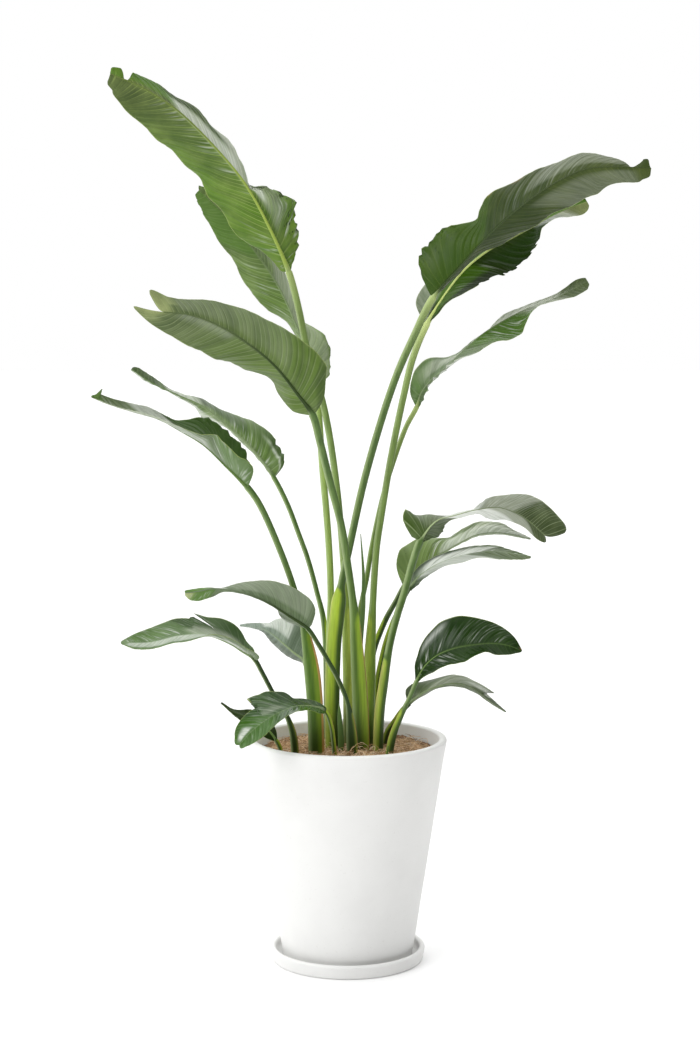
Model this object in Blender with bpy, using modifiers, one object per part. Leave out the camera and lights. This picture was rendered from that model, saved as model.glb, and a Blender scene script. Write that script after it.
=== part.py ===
"""A potted giant white bird of paradise: eighteen paddle leaves on long stalks, a rolled new leaf and two
young shoots stand in coir-covered soil, in a tall white pot on its saucer. Metres, +Z up, origin at the
centre of the saucer's underside. The plant is spread in the XZ plane and seen from -Y."""

import math

import bmesh
import bpy
import numpy as np
from mathutils import noise, Vector

MM = 0.001

# Driving dimensions of the pot and the saucer
RIM_RADIUS = 0.175
RIM_TOP = 0.397
POT_BASE_RADIUS = 0.115
LIP_WIDTH = 0.014
LIP_ROUNDING = 0.005
POT_WALL = 0.017
POT_FLOOR = 0.014
DRAIN_RADIUS = 0.012
FOOT_ROUNDING = 0.004
SAUCER_RADIUS = 0.137
SAUCER_FOOT_RADIUS = 0.134
SAUCER_HEIGHT = 0.0245
SAUCER_FLOOR = 0.008
SAUCER_LIP = 0.010
CLEARANCE = 0.0003
POT_BOTTOM = SAUCER_FLOOR + CLEARANCE
TURNED_STEPS = 44

# Driving dimensions of the soil and its coir cover
MULCH_TOP = 0.374
MULCH_DEPTH = 0.016
MULCH_MOUND = 0.004
MULCH_RELIEF = 0.0045
MULCH_GRAIN = 38.0
MULCH_ROWS = 5
SOIL_TOP = MULCH_TOP - MULCH_DEPTH
SOIL_STEPS = 32
ROOTED = 0.325
HOLE_CLEARANCE = 0.0005
HOLE_TOP = MULCH_TOP + 0.012

# Driving dimensions of the foliage
BLADE_EDGE = 0.00035
BLADE_MIDDLE = 0.00045
RIB_RADIUS_AT_STALK = 0.0045
RIB_RADIUS_AT_TIP = 0.0012
RIB_SHARE_OF_HALF = 0.45
STALK_STEP = 0.07
BLADE_STEP = 0.11
SHEATH = (630, 250)
STALK_DEPTH_SHARE = 0.8
BULGE_SHARE = 0.07
RIPPLE_LENGTH = 0.075
RIPPLE_SHARE = 0.045
ALONG_POWER = 0.6
ACROSS_WIDE = (0.0, 0.5, 1.0)
ACROSS_NARROW = (0.0, 1.0)
SHOOT_SIDES = 4

AWAY = (0.0, 1.0, 0.0)
LEFT = 1
RIGHT = -1
UNDERSIDE = -1
UPPER_FACE = 1


class Leaf:
    """One leaf. Points are millimetres. A half's rows are (share of the rib, offset up across the rib,
    offset away from the viewer, offset along the rib) of its edge."""

    def __init__(self, name, lean, shows, base, stalk, rib, upper, lower,
                 top_radius=6, base_radius=11, sheath=SHEATH, across=ACROSS_WIDE, away=AWAY):
        self.name = name
        self.lean = lean
        self.shows = shows
        self.base = base
        self.stalk = stalk
        self.rib = rib
        self.upper = upper
        self.lower = lower
        self.top_radius = top_radius * MM
        self.base_radius = base_radius * MM
        self.sheath = sheath
        self.across = across
        self.away = away


LEAVES = [
    Leaf("leaf_left_top", LEFT, UNDERSIDE, (4, 28),
         [(3, 35, 530), (-6, 40, 685), (-19, 40, 835), (-40, 30, 970), (-72, 10, 1085), (-84, 0, 1145)],
         [(-101, -10, 1210), (-132, -30, 1282), (-172, -50, 1355), (-228, -75, 1422), (-286, -100, 1477),
          (-337, -120, 1509), (-380, -140, 1526)],
         [(0, 3, 2), (.03, 12, 5), (.06, 28, 12), (.10, 42, 20), (.15, 50, 22), (.20, 60, 20), (.25, 54, 18),
          (.30, 42, 12), (.335, 10, 6), (.35, 6, 25), (.40, 18, 45), (.50, 24, 55), (.60, 24, 55), (.70, 23, 45),
          (.80, 18, 35), (.90, 18, 20), (.94, 16, 10), (.955, 2, 2), (.97, 9, 4, 10), (1, 10, 2, 14)],
         [(0, 0, 2), (.06, -8, 12), (.10, -24, 25), (.15, -46, 30), (.20, -56, 32), (.30, -60, 35),
          (.40, -62, 40), (.50, -55, 45), (.60, -56, 42), (.70, -58, 35), (.80, -54, 25), (.90, -45, 15, 6),
          (.95, -34, 8, 12), (1, -12, 3, 14)],
         base_radius=12, sheath=(640, 120)),
    Leaf("leaf_left_top_behind", LEFT, UNDERSIDE, (-30, 52),
         [(-31, 55, 560), (-30, 58, 650), (-33, 62, 725), (-38, 66, 793), (-44, 68, 860), (-52, 73, 973)],
         [(-57, 76, 1014), (-75, 80, 1076), (-92, 85, 1123), (-127, 90, 1196), (-169, 95, 1256),
          (-217, 100, 1314), (-263, 105, 1358)],
         [(0, 5, 2), (.03, 30, 8), (.06, 35, 12), (.10, 40, 14), (.15, 44, 14), (.19, 42, 15), (.24, 28, 18),
          (.30, 10, 26), (.36, 16, 45), (.60, 21, 50), (.80, 20, 35), (.90, 16, 20), (.97, 14, 8, 4), (1, 8, 4, 8)],
         [(0, 0, 2), (.10, -4, 25), (.20, -5, 50), (.30, -15, 55), (.40, -36, 45), (.50, -49, 40), (.60, -46, 40),
          (.70, -41, 35), (.80, -38, 25), (.90, -29, 15), (1, -15, 4)],
         base_radius=10),
    Leaf("leaf_left_centre", LEFT, UNDERSIDE, (25, -30),
         [(21, -32, 486), (15, -35, 574), (11, -38, 628), (0, -43, 709), (-11, -50, 777), (-29, -65, 848),
          (-47, -85, 923)],
         [(-59, -100, 968), (-81, -115, 1000), (-121, -140, 1051), (-167, -170, 1090), (-212, -195, 1118),
          (-257, -220, 1135), (-297, -240, 1139)],
         [(0, 5, 2), (.03, 29, 10), (.06, 42, 16), (.10, 56, 22), (.15, 68, 25), (.20, 68, 27), (.30, 60, 30),
          (.40, 56, 30), (.50, 47, 32), (.60, 44, 30), (.70, 35, 28), (.80, 29, 22), (.90, 24, 15, 4),
          (.96, 27, 10, 14), (1, 34, 5, 26)],
         [(0, -4, 2), (.03, -20, 12), (.06, -27, 22), (.10, -27, 34), (.20, -24, 56), (.30, -33, 55), (.40, -41, 50),
          (.50, -49, 45), (.60, -52, 38), (.70, -53, 32), (.80, -48, 25, 3), (.90, -37, 15, 14), (.95, -21, 8, 32),
          (1, 8, 2, 57)],
         top_radius=6.5, base_radius=14, sheath=(650, 210)),
    Leaf("leaf_left_middle_behind", LEFT, UNDERSIDE, (-36, 88),
         [(-42, 92, 583), (-56, 100, 644), (-72, 110, 701), (-88, 120, 744), (-109, 130, 798)],
         [(-134, 140, 846), (-154, 145, 874), (-180, 150, 904), (-221, 160, 940), (-262, 170, 972),
          (-309, 180, 993), (-361, 190, 1017), (-396, 200, 1040)],
         [(0, 5, 4), (.03, 28, 15), (.06, 37, 22), (.10, 40, 28), (.15, 40, 33), (.20, 40, 36), (.30, 37, 40),
          (.40, 21, 48), (.50, 12, 50), (.60, 8, 42), (.70, 4, 32), (.80, 8, 22), (.90, 14, 12), (.96, 12, 6),
          (1, 5, 2)],
         [(0, -2, 4), (.10, -5, 40), (.20, -6, 55), (.30, -5, 60), (.40, -6, 58), (.50, -18, 50), (.55, -24, 42),
          (.60, -13, 38), (.70, -4, 28), (.80, -3, 18), (.90, -6, 10), (1, -3, 2)],
         top_radius=4.5, base_radius=7),
    Leaf("leaf_left_middle", LEFT, UPPER_FACE, (-54, -45),
         [(-57, -50, 472), (-63, -55, 534), (-73, -62, 592), (-90, -70, 662), (-114, -80, 733), (-150, -95, 817)],
         [(-170, -100, 846), (-205, -115, 883), (-241, -130, 919), (-278, -145, 943), (-313, -160, 963),
          (-354, -175, 976), (-393, -190, 989), (-420, -200, 1001)],
         [(0, 3, 3), (.03, 14, 14), (.06, 28, 25), (.10, 38, 35), (.15, 43, 42), (.20, 42, 45), (.30, 43, 45),
          (.35, 35, 42), (.40, 28, 38), (.50, 16, 28), (.60, 14, 20), (.70, 14, 15), (.80, 14, 12), (.88, 10, 8),
          (.925, 20, 7), (.95, 11, 5), (1, 3, 2)],
         [(0, 1, -4), (.03, 13, -14), (.06, 22, -25), (.10, 25, -35), (.20, 22, -42), (.30, 21, -42), (.40, 13, -35),
          (.50, 7, -26), (.60, 4, -18), (.70, 3, -14), (.80, 2, -12), (.90, 1, -8), (1, 0, -2)],
         top_radius=5.5, base_radius=14, sheath=(610, 110)),
    Leaf("leaf_left_low_front", LEFT, UNDERSIDE, (9, -72),
         [(1, -82, 467), (-16, -93, 515), (-37, -106, 556), (-52, -115, 583)],
         [(-67, -125, 607), (-98, -145, 632), (-141, -170, 662), (-184, -190, 679), (-222, -205, 685),
          (-246, -215, 682), (-267, -220, 680)],
         [(0, 10, 4), (.03, 30, 12), (.06, 37, 18), (.10, 41, 24), (.15, 42, 27), (.20, 41, 30), (.30, 34, 35),
          (.40, 28, 35), (.50, 19, 32), (.60, 9, 25), (.70, 4, 14), (.80, 4, 10), (.90, 6, 8), (1, 3, 2)],
         [(0, -2, 3), (.05, -10, 20), (.10, -15, 35), (.15, -13, 42), (.20, -6, 48), (.30, -4, 48), (.50, -3, 38),
          (.60, -4, 25), (.70, -5, 12), (.80, -15, 9), (.90, -17, 8), (.96, -14, 5), (1, -5, 2)],
         top_radius=4, base_radius=10, sheath=(470, 80)),
    Leaf("leaf_left_low_behind", LEFT, UPPER_FACE, (-91, -52),
         [(-95, -58, 416), (-106, -66, 449), (-117, -73, 471), (-128, -80, 489), (-145, -90, 524)],
         [(-160, -98, 552), (-180, -105, 567), (-199, -110, 580), (-238, -120, 596), (-283, -130, 596),
          (-333, -140, 586), (-381, -150, 587)],
         [(0, 3, 3), (.03, 11, 12), (.06, 13, 18), (.10, 16, 24), (.15, 21, 30), (.20, 25, 34), (.30, 27, 36),
          (.40, 26, 34), (.46, 27, 31), (.50, 33, 28), (.52, 24, 28), (.60, 26, 25), (.70, 25, 22), (.80, 21, 16),
          (.90, 14, 10), (1, 2, 2)],
         [(0, 2, -6, -4), (.03, 9, -16, -8), (.08, 12, -26, -4), (.20, 14, -32), (.35, 8, -33), (.50, -3, -32),
          (.60, -8, -28), (.70, -8, -24), (.80, -8, -18), (.90, -9, -12), (1, -2, -2)],
         top_radius=4, base_radius=7, sheath=(450, 70)),
    Leaf("leaf_left_over_rim", LEFT, UPPER_FACE, (-22, -84),
         [(-24, -88, 405), (-28, -92, 435)],
         [(-38, -100, 462), (-62, -120, 474), (-87, -140, 477), (-112, -160, 471), (-136, -180, 461),
          (-159, -195, 445), (-179, -210, 425)],
         [(0, 4, 3), (.10, 6, 12), (.20, 8, 20), (.26, 19, 24), (.30, 22, 25), (.40, 31, 25), (.50, 33, 24),
          (.60, 37, 20), (.625, 34, 18), (.645, 22, 12), (.70, 22, 12), (.80, 20, 10), (.90, 17, 6), (1, 6, 2, 6)],
         [(0, -5, -5), (.10, -10, -10), (.20, -8, -14), (.30, -7, -18), (.40, -9, -20), (.50, -13, -20),
          (.60, -17, -18), (.70, -20, -14), (.80, -22, -10), (.90, -17, -6), (1, -6, -2, 5)],
         top_radius=3.5, base_radius=4, across=ACROSS_NARROW),
    Leaf("leaf_left_small", LEFT, UPPER_FACE, (-115, -55),
         [(-117, -55, 388)],
         [(-124, -55, 402), (-139, -52, 421), (-157, -48, 435), (-179, -42, 442), (-201, -36, 449),
          (-221, -30, 463)],
         [(0, 2, 2), (.10, 8, 8), (.25, 12, 14), (.40, 13, 16), (.55, 12, 12), (.70, 6, 8), (.85, 3, 4), (1, 2, 1)],
         [(0, -3, -2), (.10, -11, -6), (.25, -15, -10), (.40, -16, -10), (.55, -12, -8), (.70, -6, -5),
          (.85, -2, -2), (1, -1, -1)],
         top_radius=3, base_radius=4, across=ACROSS_NARROW),
    Leaf("leaf_left_inner", LEFT, UNDERSIDE, (-63, 12),
         [(-65, 25, 448), (-70, 50, 481)],
         [(-77, 80, 517), (-98, 100, 532), (-117, 120, 545), (-139, 145, 559), (-156, 160, 566),
          (-178, 180, 567), (-200, 200, 566)],
         [(0, 4, 3), (.05, 15, 8), (.10, 22, 12), (.20, 30, 18), (.30, 36, 20), (.40, 41, 20), (.50, 39, 18),
          (.60, 28, 14), (.68, 11, 10), (.80, 7, 6), (.90, 5, 4), (1, 2, 1)],
         [(0, -3, 3), (.10, -10, 14), (.20, -13, 20), (.30, -17, 24), (.40, -20, 24), (.50, -19, 20), (.60, -14, 14),
          (.70, -9, 10), (.80, -5, 6), (1, -1, 1)],
         top_radius=3.5, base_radius=5, across=ACROSS_NARROW),
    Leaf("leaf_right_top", RIGHT, UNDERSIDE, (-26, 2),
         [(-27, 0, 463), (-24, 0, 560), (-19, 0, 608), (-12, 0, 661), (3, 0, 732), (33, 0, 865), (82, -7, 1025),
          (115, -12, 1101)],
         [(147, -20, 1166), (191, -30, 1217), (241, -45, 1272), (294, -60, 1319), (347, -75, 1356),
          (396, -90, 1378), (442, -100, 1382), (497, -110, 1379)],
         [(0, 4, 3), (.03, 34, 12), (.06, 56, 18), (.10, 68, 24), (.15, 69, 26), (.20, 70, 26), (.25, 55, 26),
          (.325, 35, 30), (.355, 43, 34), (.41, 49, 36), (.50, 43, 40), (.60, 34, 42), (.70, 30, 40), (.80, 26, 32),
          (.88, 16, 18), (.94, 3, 6), (.97, 9, 3, 6), (1, 15, 2, 10)],
         [(0, 0, 3), (.06, -7, 30), (.10, -6, 42), (.15, -6, 50), (.20, -9, 54), (.30, -23, 52), (.40, -36, 46),
          (.50, -41, 42), (.60, -45, 38), (.70, -47, 34), (.80, -46, 26), (.90, -29, 15), (.95, -23, 8, 4),
          (1, -12, 3, 12)],
         top_radius=6.5, base_radius=13, sheath=(655, 45)),
    Leaf("leaf_right_top_behind", RIGHT, UPPER_FACE, (36, 10),
         [(38, 14, 477), (40, 18, 548), (44, 22, 620), (51, 28, 728), (59, 34, 782), (77, 42, 890), (99, 50, 997),
          (115, 56, 1062)],
         [(140, 64, 1122), (175, 76, 1178), (207, 85, 1218), (251, 95, 1253), (299, 105, 1278), (350, 115, 1305),
          (395, 122, 1327), (427, 128, 1339)],
         [(0, 4, 2), (.03, 22, 6), (.06, 34, 10), (.10, 39, 14), (.15, 40, 18), (.20, 36, 24), (.30, 31, 34),
          (.40, 32, 38), (.60, 34, 35), (.80, 30, 24), (.90, 24, 14), (1, 6, 3)],
         [(0, -1, -2), (.06, -8, -10), (.10, -10, -18), (.15, -15, -22), (.20, -23, -22), (.30, -38, -18),
          (.40, -46, -14), (.50, -56, -10), (.58, -50, -10), (.65, -38, -10), (.70, -26, -10), (.74, -10, -12),
          (.82, -8, -12), (.90, -19, -10), (.95, -23, -6, 6), (1, -10, -3, 10)],
         top_radius=6, base_radius=11, sheath=(630, 150)),
    Leaf("leaf_right_twisted", RIGHT, UPPER_FACE, (-2, 66),
         [(4, 60, 466), (13, 60, 546), (23, 60, 617), (34, 62, 671), (43, 65, 726), (66, 72, 828), (92, 76, 909),
          (106, 79, 944)],
         [(123, 82, 975), (131, 84, 999), (147, 88, 1021), (169, 92, 1040), (205, 100, 1074), (246, 110, 1108),
          (318, 130, 1148), (383, 145, 1173), (431, 155, 1198)],
         [(0, 2, 3), (.03, 12, 8), (.06, 21, 14), (.10, 30, 20), (.15, 31, 30), (.20, 27, 38), (.30, 8, 48),
          (.40, 4, 50), (.50, 6, 48), (.60, 12, 38), (.70, 8, 28), (.80, 7, 18), (.90, 13, 10), (.96, 14, 6),
          (1, 6, 2)],
         [(0, -3, -3), (.06, -10, -30), (.12, -8, -42), (.20, -6, -46), (.30, -19, -42), (.40, -32, -34),
          (.50, -39, -24), (.60, -38, -18), (.65, -25, -18), (.70, -12, -20), (.80, -7, -16), (.90, -13, -10),
          (.96, -12, -5), (1, -4, -2)],
         top_radius=4.5, base_radius=8),
    Leaf("leaf_right_middle_front", RIGHT, UNDERSIDE, (53, -28),
         [(56, -30, 450), (62, -33, 495), (68, -37, 536), (75, -42, 575), (86, -50, 620), (99, -60, 664),
          (111, -70, 711)],
         [(124, -76, 750), (150, -30, 778), (190, 45, 784), (234, 100, 790), (276, 140, 790), (320, 170, 770),
          (362, 190, 735)],
         [(0, 16, 6), (.03, 47, 16), (.06, 50, 20), (.09, 32, 18), (.14, 20, 20), (.20, 11, 20), (.28, 5, 16),
          (.36, 3, 12), (.45, 3, 10), (.52, 6, 8), (.555, 10, 6), (.62, 14, 6, 3), (.70, 22, 8, 5),
          (.80, 37, 8, 8), (.88, 47, 8, 10), (.96, 44, 6, 18), (1, 34, 2, 32)],
         [(0, -3, -3), (.06, -14, -12), (.10, -20, -14), (.15, -18, -14), (.20, -8, -14), (.25, -4, -14),
          (.35, -4, -16), (.45, -10, -22), (.54, -20, -24), (.62, -22, -24), (.70, -21, -20), (.80, -19, -16),
          (.90, -16, -10), (1, -7, -3)],
         top_radius=7, base_radius=10, sheath=(560, 110), away=(-0.6, 0.8, 0.0)),
    Leaf("leaf_right_middle", RIGHT, UNDERSIDE, (18, 96),
         [(33, 92, 469), (48, 88, 542), (57, 86, 567), (71, 84, 599), (87, 82, 628)],
         [(102, 82, 656), (119, 90, 676), (149, 110, 698), (180, 135, 713), (207, 155, 726), (235, 175, 737),
          (272, 200, 739), (310, 220, 733), (341, 235, 724)],
         [(0, 5, 2), (.03, 19, 8), (.06, 30, 14), (.10, 39, 20), (.15, 46, 24), (.20, 45, 28), (.30, 41, 32),
          (.40, 27, 36), (.50, 15, 38), (.60, 13, 34), (.70, 20, 28), (.80, 17, 20), (.90, 7, 12), (1, 2, 2)],
         [(0, -3, 2), (.05, -5, 16), (.10, -3, 30), (.20, -2, 44), (.40, -2, 46), (.60, -5, 36), (.80, -4, 22),
          (1, -2, 2)],
         top_radius=4.5, base_radius=7),
    Leaf("leaf_right_pale", RIGHT, UPPER_FACE, (50, 58),
         [(50, 55, 445), (55, 52, 495), (61, 50, 527), (68, 49, 557), (79, 48, 590), (93, 48, 622)],
         [(109, 50, 653), (129, 54, 677), (159, 60, 696), (192, 66, 708), (228, 74, 716), (265, 82, 717),
          (302, 90, 711), (329, 96, 705)],
         [(0, 3, 3), (.06, 5, 18), (.10, 8, 26), (.20, 10, 32), (.30, 12, 34), (.40, 10, 34), (.50, 8, 32),
          (.60, 10, 28), (.70, 9, 24), (.80, 6, 18), (.90, 4, 10), (1, 1, 2)],
         [(0, -6, -3), (.06, -8, -14), (.10, -5, -24), (.20, -5, -32), (.40, -6, -36), (.60, -8, -32), (.70, -10, -28),
          (.80, -10, -20), (.90, -8, -12), (1, -2, -2)],
         top_radius=4, base_radius=6, across=ACROSS_NARROW),
    Leaf("leaf_right_glossy", RIGHT, UPPER_FACE, (72, -54),
         [(79, -57, 412), (89, -60, 439), (100, -64, 463), (110, -67, 485)],
         [(119, -70, 508), (132, -72, 533), (153, -76, 553), (182, -80, 566), (218, -84, 573), (250, -88, 576),
          (276, -92, 573), (298, -94, 564)],
         [(0, 3, 3), (.05, 8, 10), (.10, 14, 16), (.15, 18, 20), (.20, 25, 22), (.30, 38, 22), (.40, 49, 20),
          (.50, 51, 18), (.60, 47, 16), (.70, 40, 14), (.80, 30, 11), (.90, 17, 7), (1, 2, 1)],
         [(0, -3, -3), (.05, -5, -12), (.10, -8, -20), (.20, -14, -30), (.30, -18, -34), (.40, -19, -34),
          (.50, -20, -32), (.60, -15, -28), (.70, -11, -24), (.80, -16, -18), (.90, -14, -10), (1, -2, -1)],
         top_radius=4, base_radius=7, sheath=(470, 90)),
    Leaf("leaf_right_low", RIGHT, UNDERSIDE, (64, 16),
         [(71, 14, 405), (82, 11, 421), (95, 6, 441)],
         [(108, 0, 456), (124, -3, 470), (143, -6, 482), (164, -9, 490), (186, -12, 494), (207, -15, 492),
          (226, -18, 482), (250, -22, 464), (277, -26, 446)],
         [(0, 4, 3), (.03, 16, 8), (.06, 21, 12), (.10, 21, 18), (.15, 17, 24), (.20, 13, 28), (.40, 9, 32),
          (.55, 9, 30), (.64, 12, 24, 6), (.69, 13, 19, 26), (.73, 6, 14), (.85, 4, 9), (1, 1, 1)],
         [(0, -4, 2), (.06, -6, 12), (.15, -8, 22), (.30, -8, 28), (.50, -9, 26), (.70, -6, 20), (.80, -4, 12),
          (.90, -3, 7), (1, -1, 1)],
         top_radius=3.5, base_radius=5, across=ACROSS_NARROW),
]


class Shoot:
    """A rolled new leaf or a young shoot: a closed spear with no blade yet. Points are millimetres."""

    def __init__(self, name, base, route, radii):
        self.name = name
        self.base = base
        self.route = route
        self.radii = radii


SHOOTS = [
    Shoot("rolled_new_leaf", (23, 47), [(22, 36, 450), (22, 14, 545), (27, -6, 625), (28, -8, 680), (23, -8, 757)],
          (5, 5, 4.5, 4.5, 3, 0.7)),
    Shoot("young_shoot_left", (-10, -34), [(-12, -34, 405), (-14, -33, 440), (-15, -31, 462)], (6, 5.5, 4, 0.7)),
    Shoot("young_shoot_right", (67, -84), [(68, -84, 378), (69, -85, 389), (70, -86, 398)], (2.5, 2.2, 1.6, 0.7)),
]


def unit(vector):
    return vector / np.linalg.norm(vector)


class Route:
    """A smooth curve through points, read by distance along it."""

    STEPS = 24

    def __init__(self, points):
        points = np.array(points, float)
        before = 2 * points[0] - points[1]
        after = 2 * points[-1] - points[-2]
        knots = np.vstack([before, points, after])
        drawn = []
        for p0, p1, p2, p3 in zip(knots, knots[1:], knots[2:], knots[3:]):
            times = np.cumsum([0.0] + [math.sqrt(np.linalg.norm(b - a)) for a, b in ((p0, p1), (p1, p2), (p2, p3))])
            for t in np.linspace(times[1], times[2], self.STEPS, endpoint=False):
                a1 = p0 + (p1 - p0) * (t - times[0]) / (times[1] - times[0])
                a2 = p1 + (p2 - p1) * (t - times[1]) / (times[2] - times[1])
                a3 = p2 + (p3 - p2) * (t - times[2]) / (times[3] - times[2])
                b1 = a1 + (a2 - a1) * (t - times[0]) / (times[2] - times[0])
                b2 = a2 + (a3 - a2) * (t - times[1]) / (times[3] - times[1])
                drawn.append(b1 + (b2 - b1) * (t - times[1]) / (times[2] - times[1]))
        drawn.append(points[-1])
        self.points = np.array(drawn)
        steps = np.linalg.norm(np.diff(self.points, axis=0), axis=1)
        self.distances = np.concatenate([[0.0], np.cumsum(steps)])
        self.length = self.distances[-1]

    def at(self, distance):
        return np.array([np.interp(distance, self.distances, axis) for axis in self.points.T])

    def along(self, distance):
        reach = 0.006
        return unit(self.at(min(distance + reach, self.length)) - self.at(max(distance - reach, 0.0)))

    def distance_of(self, index):
        """Distance at the route's own point with this index."""
        return self.distances[index * self.STEPS]


def frame_across(tangent, away, lean):
    """The two directions across a leaf: up in the picture, and away from the viewer."""
    away = np.array(away)
    back = unit(away - tangent * away.dot(tangent))
    return lean * np.cross(back, tangent), back


def edge_offset(rows, share):
    """A half's edge at this share of the rib: up, away and along, in metres."""
    shares = [row[0] for row in rows]
    columns = zip(*[(row + (0.0,))[1:4] for row in rows])
    return np.array([np.interp(share, shares, column) for column in columns]) * MM


def half_section(rows, share, across, rib_radius):
    """Offsets from the rib outwards, each (up, away, along), with the outward direction in the section."""
    edge = edge_offset(rows, share)
    width = math.hypot(edge[0], edge[1])
    rib_share = min(rib_radius / width, RIB_SHARE_OF_HALF)
    outward = edge[:2] / width
    offsets = []
    for place in across:
        share_out = rib_share + (1 - rib_share) * place
        along = edge[2] * share_out ** ALONG_POWER
        offsets.append((np.array([edge[0] * share_out, edge[1] * share_out, along]), share_out))
    return outward, offsets, width


def ripple(distance, width, side):
    """The wave of a half's margin, square to the blade, at this distance along the rib."""
    return RIPPLE_SHARE * width * math.sin(2 * math.pi * distance / RIPPLE_LENGTH + side)


def blade_ring(centre, tangent, leaf, share, distance):
    """One closed section of the blade: its front points from the upper edge to the lower, and its back points."""
    up, back = frame_across(tangent, leaf.away, leaf.lean)
    rib_radius = RIB_RADIUS_AT_STALK + (RIB_RADIUS_AT_TIP - RIB_RADIUS_AT_STALK) * share
    front = []
    rear = []
    for side, rows in ((1, leaf.upper), (-1, leaf.lower)):
        outward, offsets, width = half_section(rows, share, leaf.across, rib_radius)
        wave = ripple(distance, width, side)
        normal = side * np.array([outward[1], -outward[0]])
        half_front = []
        half_rear = []
        for offset, share_out in offsets:
            bulge = 4 * BULGE_SHARE * width * share_out * (1 - share_out) * -leaf.shows + wave * share_out ** 2
            half = BLADE_MIDDLE + (BLADE_EDGE - BLADE_MIDDLE) * share_out
            for target, lift in ((half_front, bulge + half), (half_rear, bulge - half)):
                flat = offset[:2] + normal * lift
                target.append(centre + up * flat[0] + back * flat[1] + tangent * offset[2])
        front.append(half_front)
        rear.append(half_rear)
    upper_out = half_section(leaf.upper, share, leaf.across, rib_radius)[0]
    lower_out = half_section(leaf.lower, share, leaf.across, rib_radius)[0]
    normal = np.array([upper_out[1] - lower_out[1], lower_out[0] - upper_out[0]])
    normal = normal / max(np.linalg.norm(normal), 1e-6)
    rib_front = rib_radius if leaf.shows == UNDERSIDE else BLADE_MIDDLE
    rib_rear = BLADE_MIDDLE if leaf.shows == UNDERSIDE else rib_radius
    middle_front = centre + (up * normal[0] + back * normal[1]) * rib_front
    middle_rear = centre - (up * normal[0] + back * normal[1]) * rib_rear
    return (front[0][::-1] + [middle_front] + front[1],
            rear[0][::-1] + [middle_rear] + rear[1])


def round_ring(centre, tangent, away, lean, radius, count):
    """A round section with as many points as a blade section has: front points and back points."""
    up, back = frame_across(tangent, away, lean)
    front = []
    rear = []
    for index in range(count):
        angle = math.pi * (index + 0.5) / count
        sideways = up * math.cos(angle) * radius
        depth = back * math.sin(angle) * radius * STALK_DEPTH_SHARE
        front.append(centre + sideways - depth)
        rear.append(centre + sideways + depth)
    return front, rear


def stalk_radius(leaf, height):
    """Stalks are slim above and widen into a sheath near the soil."""
    top, length = leaf.sheath
    share = min(max((top * MM - height) / (length * MM), 0.0), 1.0)
    return leaf.top_radius + (leaf.base_radius - leaf.top_radius) * share


def leaf_route(leaf):
    """The leaf's curve from its rooted end to its tip, and the distance at which the blade starts."""
    x, y = leaf.base
    points = [(x, y, ROOTED / MM), (x, y, MULCH_TOP / MM)] + leaf.stalk + leaf.rib
    route = Route([(Vector(point) * MM)[:] for point in points])
    return route, route.distance_of(2 + len(leaf.stalk))


def stations(leaf, widest_step):
    """Shares of the rib that get a section: each row of both halves, with wide steps split."""
    marks = sorted({row[0] for row in leaf.upper if row[0] > 0} | {1.0})
    found = []
    before = 0.0
    for mark in marks:
        parts = max(1, round((mark - before) / widest_step))
        found += [before + (mark - before) * (part + 1) / parts for part in range(parts)]
        before = mark
    return found


def stalk_rings(leaf, grow=0.0, top=math.inf):
    """Round sections of the stalk from its rooted end to the blade, or to the first one above a height."""
    route, blade_start = leaf_route(leaf)
    count = 2 * len(leaf.across) + 1
    parts = max(3, round(blade_start / STALK_STEP))
    rings = []
    for part in range(parts + 1):
        distance = blade_start * part / parts
        centre = route.at(distance)
        radius = stalk_radius(leaf, centre[2]) + grow
        rings.append(round_ring(centre, route.along(distance), leaf.away, leaf.lean, radius, count))
        if centre[2] > top:
            break
    return rings


def leaf_rings(leaf):
    route, blade_start = leaf_route(leaf)
    rings = stalk_rings(leaf)
    for share in stations(leaf, BLADE_STEP):
        distance = blade_start + (route.length - blade_start) * share
        rings.append(blade_ring(route.at(distance), route.along(distance), leaf, share, distance))
    return rings


def hole_rings(rings):
    """The same sections with the first one lowered, so that the stalk ends just above the hole's floor."""
    floor = np.array([0.0, 0.0, -HOLE_CLEARANCE])
    front, rear = rings[0]
    return [([point + floor for point in front], [point + floor for point in rear])] + rings[1:]


def loft(name, rings):
    """A closed mesh through sections of front and back points, with both faces split into triangles alike."""
    points = []
    faces = []
    count = len(rings[0][0])
    for front, rear in rings:
        points += [tuple(point) for point in front + rear]
    size = 2 * count
    for ring in range(len(rings) - 1):
        here = ring * size
        there = here + size
        for i in range(count - 1):
            for shift, turned in ((0, False), (count, True)):
                a, b = here + shift + i, here + shift + i + 1
                c, d = there + shift + i + 1, there + shift + i
                corners = [(a, b, c), (a, c, d)]
                faces += [corner[::-1] if turned else corner for corner in corners]
        first, last = 0, count - 1
        faces += [(here + count + first, here + first, there + first),
                  (here + count + first, there + first, there + count + first)]
        faces += [(here + last, here + count + last, there + count + last),
                  (here + last, there + count + last, there + last)]
    for start, turned in ((0, True), ((len(rings) - 1) * size, False)):
        for i in range(count - 1):
            a, b = start + i, start + i + 1
            c, d = start + count + i + 1, start + count + i
            corners = [(a, b, c), (a, c, d)]
            faces += [corner[::-1] if turned else corner for corner in corners]
    mesh = bpy.data.meshes.new(name)
    mesh.from_pydata(points, [], faces)
    work = bmesh.new()
    work.from_mesh(mesh)
    if work.calc_volume(signed=True) < 0:
        bmesh.ops.reverse_faces(work, faces=work.faces)
    work.to_mesh(mesh)
    work.free()
    mesh.shade_smooth()
    return mesh


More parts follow.
